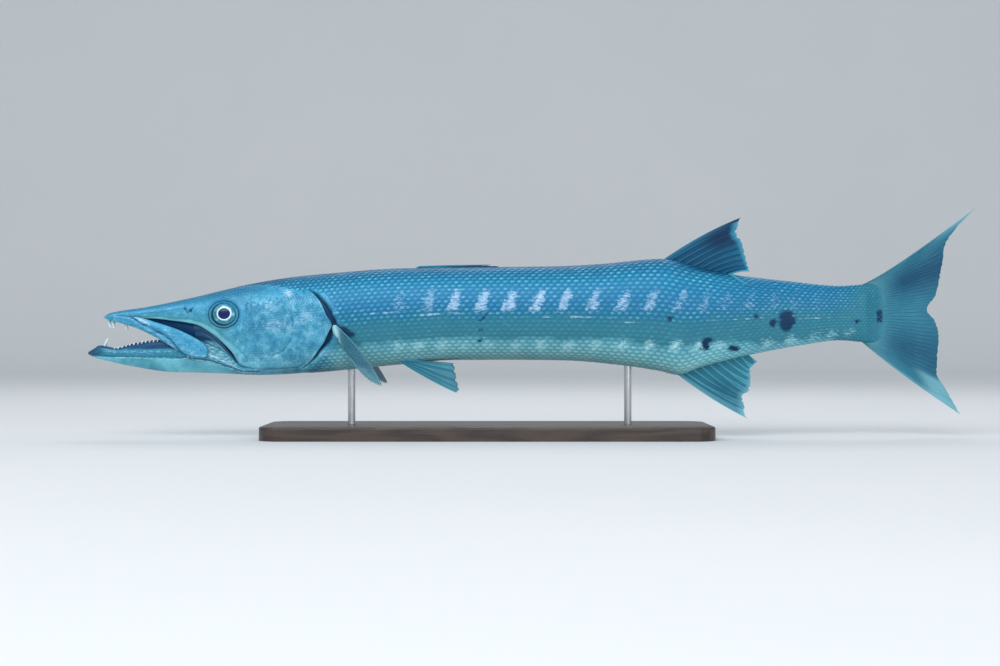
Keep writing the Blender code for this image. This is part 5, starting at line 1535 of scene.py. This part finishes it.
def tail(u, v):
    """Rays that leave the tail's root nearly level and bend out: at u they are at (1-u)^2 root + 2u(1-u)
    bend + u^2 tip."""
    top, low = float(back(TAIL_START)), float(underside(TAIL_START))
    middle, half = (top + low) / 2, (top - low) / 2
    root_s, root_h = TAIL_START + 0 * v, middle + half * np.cos(v * math.pi)
    tip_s, tip_h = tail_margin(v)
    bend_s = root_s + (0.22 + 0.10 * np.sin(v * math.pi) + 0.12 * ease((v - 0.7) / 0.3)) * (tip_s - root_s)
    bend_h = root_h + (0.13 + 0.17 * ease((v - 0.3) / 0.4) + 0.11 * ease((v - 0.7) / 0.3)) * (tip_h - root_h)
    s = root_s * (1 - u) ** 2 + 2 * u * (1 - u) * bend_s + u ** 2 * tip_s
    h = root_h * (1 - u) ** 2 + 2 * u * (1 - u) * bend_h + u ** 2 * tip_h
    return in_plane(s, h)


def tail_tones(u, v):
    pale = 0.62 * (1 - ease((u - 0.08) / 0.48)) + 0.85 * ease((u - 0.66) / 0.20) * ease((v - 0.84) / 0.06)
    pale = pale + 0.45 * ease((u - 0.75) / 0.2) * ease((0.10 - v) / 0.08)
    pale = pale + 0.45 * bump(v, 0.0, 0.03) + 0.6 * bump(v, 1.0, 0.02)
    dark = 0.75 * bump(v, 0.24, 0.13) * ease((u - 0.30) / 0.35)
    dark = dark + 0.55 * bump(v, 0.75, 0.14) * ease((u - 0.25) / 0.4)
    return np.clip(pale, 0, 1), np.clip(dark, 0, 1)


make_piece("tail_fin_rays",
           [fin(tail, 45, rows=84, per_ray=6, tones=tail_tones, seed=13, root=0.0009, fringe=0.010)],
           FIN_VALUES, TAIL_LOOK, ("tail_fin_upper", "tail_fin_lower"))

# %% [markdown]
# ## The stand
#
# A plain plinth of dark oiled wood and two short rods of brushed steel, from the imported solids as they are.
# The wood's rings are waves bent by noise and drawn out along the board, and its pores are short dark
# streaks.

# %% Wood and steel
def wood_finish():
    look, tree, shader = new_look("stand_wood", Coat_Weight=0.15, Coat_Roughness=0.3)
    warped = noise(tree, 9.0, 4.0, 0.55, (0.16, 1.0, 1.0))
    rings = add(tree, "Math", {0: maths(tree, "MULTIPLY", warped, 70.0)}, operation="SINE").outputs[0]
    pores = noise(tree, 900.0, 2.0, 0.6, (0.035, 1.0, 1.0))
    colour = mix(tree, spread(tree, rings, -1.0, 1.0), linear(66, 52, 44), linear(44, 34, 29))
    colour = mix(tree, spread(tree, pores, 0.55, 0.70, 0.0, 0.6), colour, linear(22, 17, 15))
    heights = maths(tree, "SUBTRACT", maths(tree, "MULTIPLY", rings, 0.15), spread(tree, pores, 0.5, 0.7))
    feed(tree, shader, Base_Color=colour, Roughness=spread(tree, pores, 0.3, 0.7, 0.36, 0.56),
         Normal=raised(tree, heights, 0.0001))
    return look


def steel_finish():
    look, tree, shader = new_look("stand_steel", Metallic=1.0)
    brushed = noise(tree, 1400.0, 3.0, 0.6, (1.0, 1.0, 0.02))
    colour = mix(tree, spread(tree, brushed, 0.3, 0.7), linear(172, 174, 178), linear(200, 202, 204))
    feed(tree, shader, Base_Color=colour, Roughness=spread(tree, brushed, 0.3, 0.7, 0.22, 0.38),
         Normal=raised(tree, brushed, 0.00003))
    return look


WOOD, STEEL = wood_finish(), steel_finish()
for name, finish in (("stand_base", WOOD), ("stand_rod_front", STEEL), ("stand_rod_rear", STEEL)):
    for place in nodes[name].material_slots:
        place.material = finish
print("stand finished:", [name for name in nodes if name.startswith("stand")])

# %% [markdown]
# ## Floor, light and camera
#
# A pale floor that curves up into a backdrop leaves no horizon behind the fish. Wide soft lights give the
# long, quiet highlights of a museum photograph. The camera looks level at the fish's left side, from 2.6 m
# away.

# %% A floor that bends up into a backdrop
def backdrop():
    """A strip along X whose profile runs level behind the stand and then up a quarter circle."""
    turn = np.linspace(0, math.pi / 2, 24)
    profile = [(-9.0, 0.0), (4.4, 0.0), *zip(4.4 + 1.6 * np.sin(turn), 1.6 - 1.6 * np.cos(turn)), (6.0, 9.0)]
    y, z = np.array(profile).T
    x = np.linspace(-9.0, 9.0, 10)
    points = np.stack(np.broadcast_arrays(x[:, None], y[None, :], z[None, :]), axis=-1)
    data = bpy.data.meshes.new("backdrop")
    data.from_pydata(points.reshape(-1, 3).tolist(), [], grid_faces(*points.shape[:2]).tolist())
    data.shade_smooth()
    look, tree, shader = new_look("studio_paper", Roughness=0.85)
    feed(tree, shader, Base_Color=mix(tree, noise(tree, 1.5), linear(216, 220, 223), linear(222, 225, 228)))
    data.materials.append(look)
    floor = bpy.data.objects.new("backdrop", data)
    bpy.context.scene.collection.objects.link(floor)


backdrop()


# %% Soft lights
def soft_light(name, place, target, size, power, colour=(1, 1, 1)):
    """A rectangular area light that faces its target."""
    light = bpy.data.lights.new(name, "AREA")
    light.shape, light.size, light.size_y = "RECTANGLE", size[0], size[1]
    light.energy, light.color = power, colour
    made = bpy.data.objects.new(name, light)
    made.location = place
    lean = np.array(target, float) - np.array(place, float)
    made.rotation_euler = (math.atan2(math.hypot(lean[0], lean[1]), -lean[2]), 0.0,
                           math.atan2(lean[1], lean[0]) - math.pi / 2)
    bpy.context.scene.collection.objects.link(made)


soft_light("key_light", (-1.2, -3.1, 2.7), (0, 0, 0.15), (3.5, 2.2), 102)
soft_light("fill_light", (1.8, -4.2, 1.05), (0.1, 0, 0.10), (3.1, 1.2), 38)
soft_light("back_light", (0.3, 1.6, 1.8), (0, 0, 0.15), (2.4, 1.0), 12)

world = bpy.data.worlds.new("studio")
world.use_nodes = True
world.node_tree.nodes["Background"].inputs["Color"].default_value = (0.88, 0.92, 0.96, 1.0)
world.node_tree.nodes["Background"].inputs["Strength"].default_value = 0.66
bpy.context.scene.world = world
bpy.context.scene.view_settings.view_transform = "Standard"

# %% Camera
DISTANCE, SEEN_WIDTH = 2.6, 1.35
lens = bpy.data.cameras.new("camera")
lens.sensor_width = 36.0
lens.lens = lens.sensor_width * DISTANCE / SEEN_WIDTH
camera = bpy.data.objects.new("camera", lens)
camera.location = (0.0169, -DISTANCE, 0.1412)
camera.rotation_euler = (math.pi / 2, 0.0, 0.0)
bpy.context.scene.collection.objects.link(camera)
bpy.context.scene.camera = camera
print("camera lens:", round(lens.lens, 2), "mm")
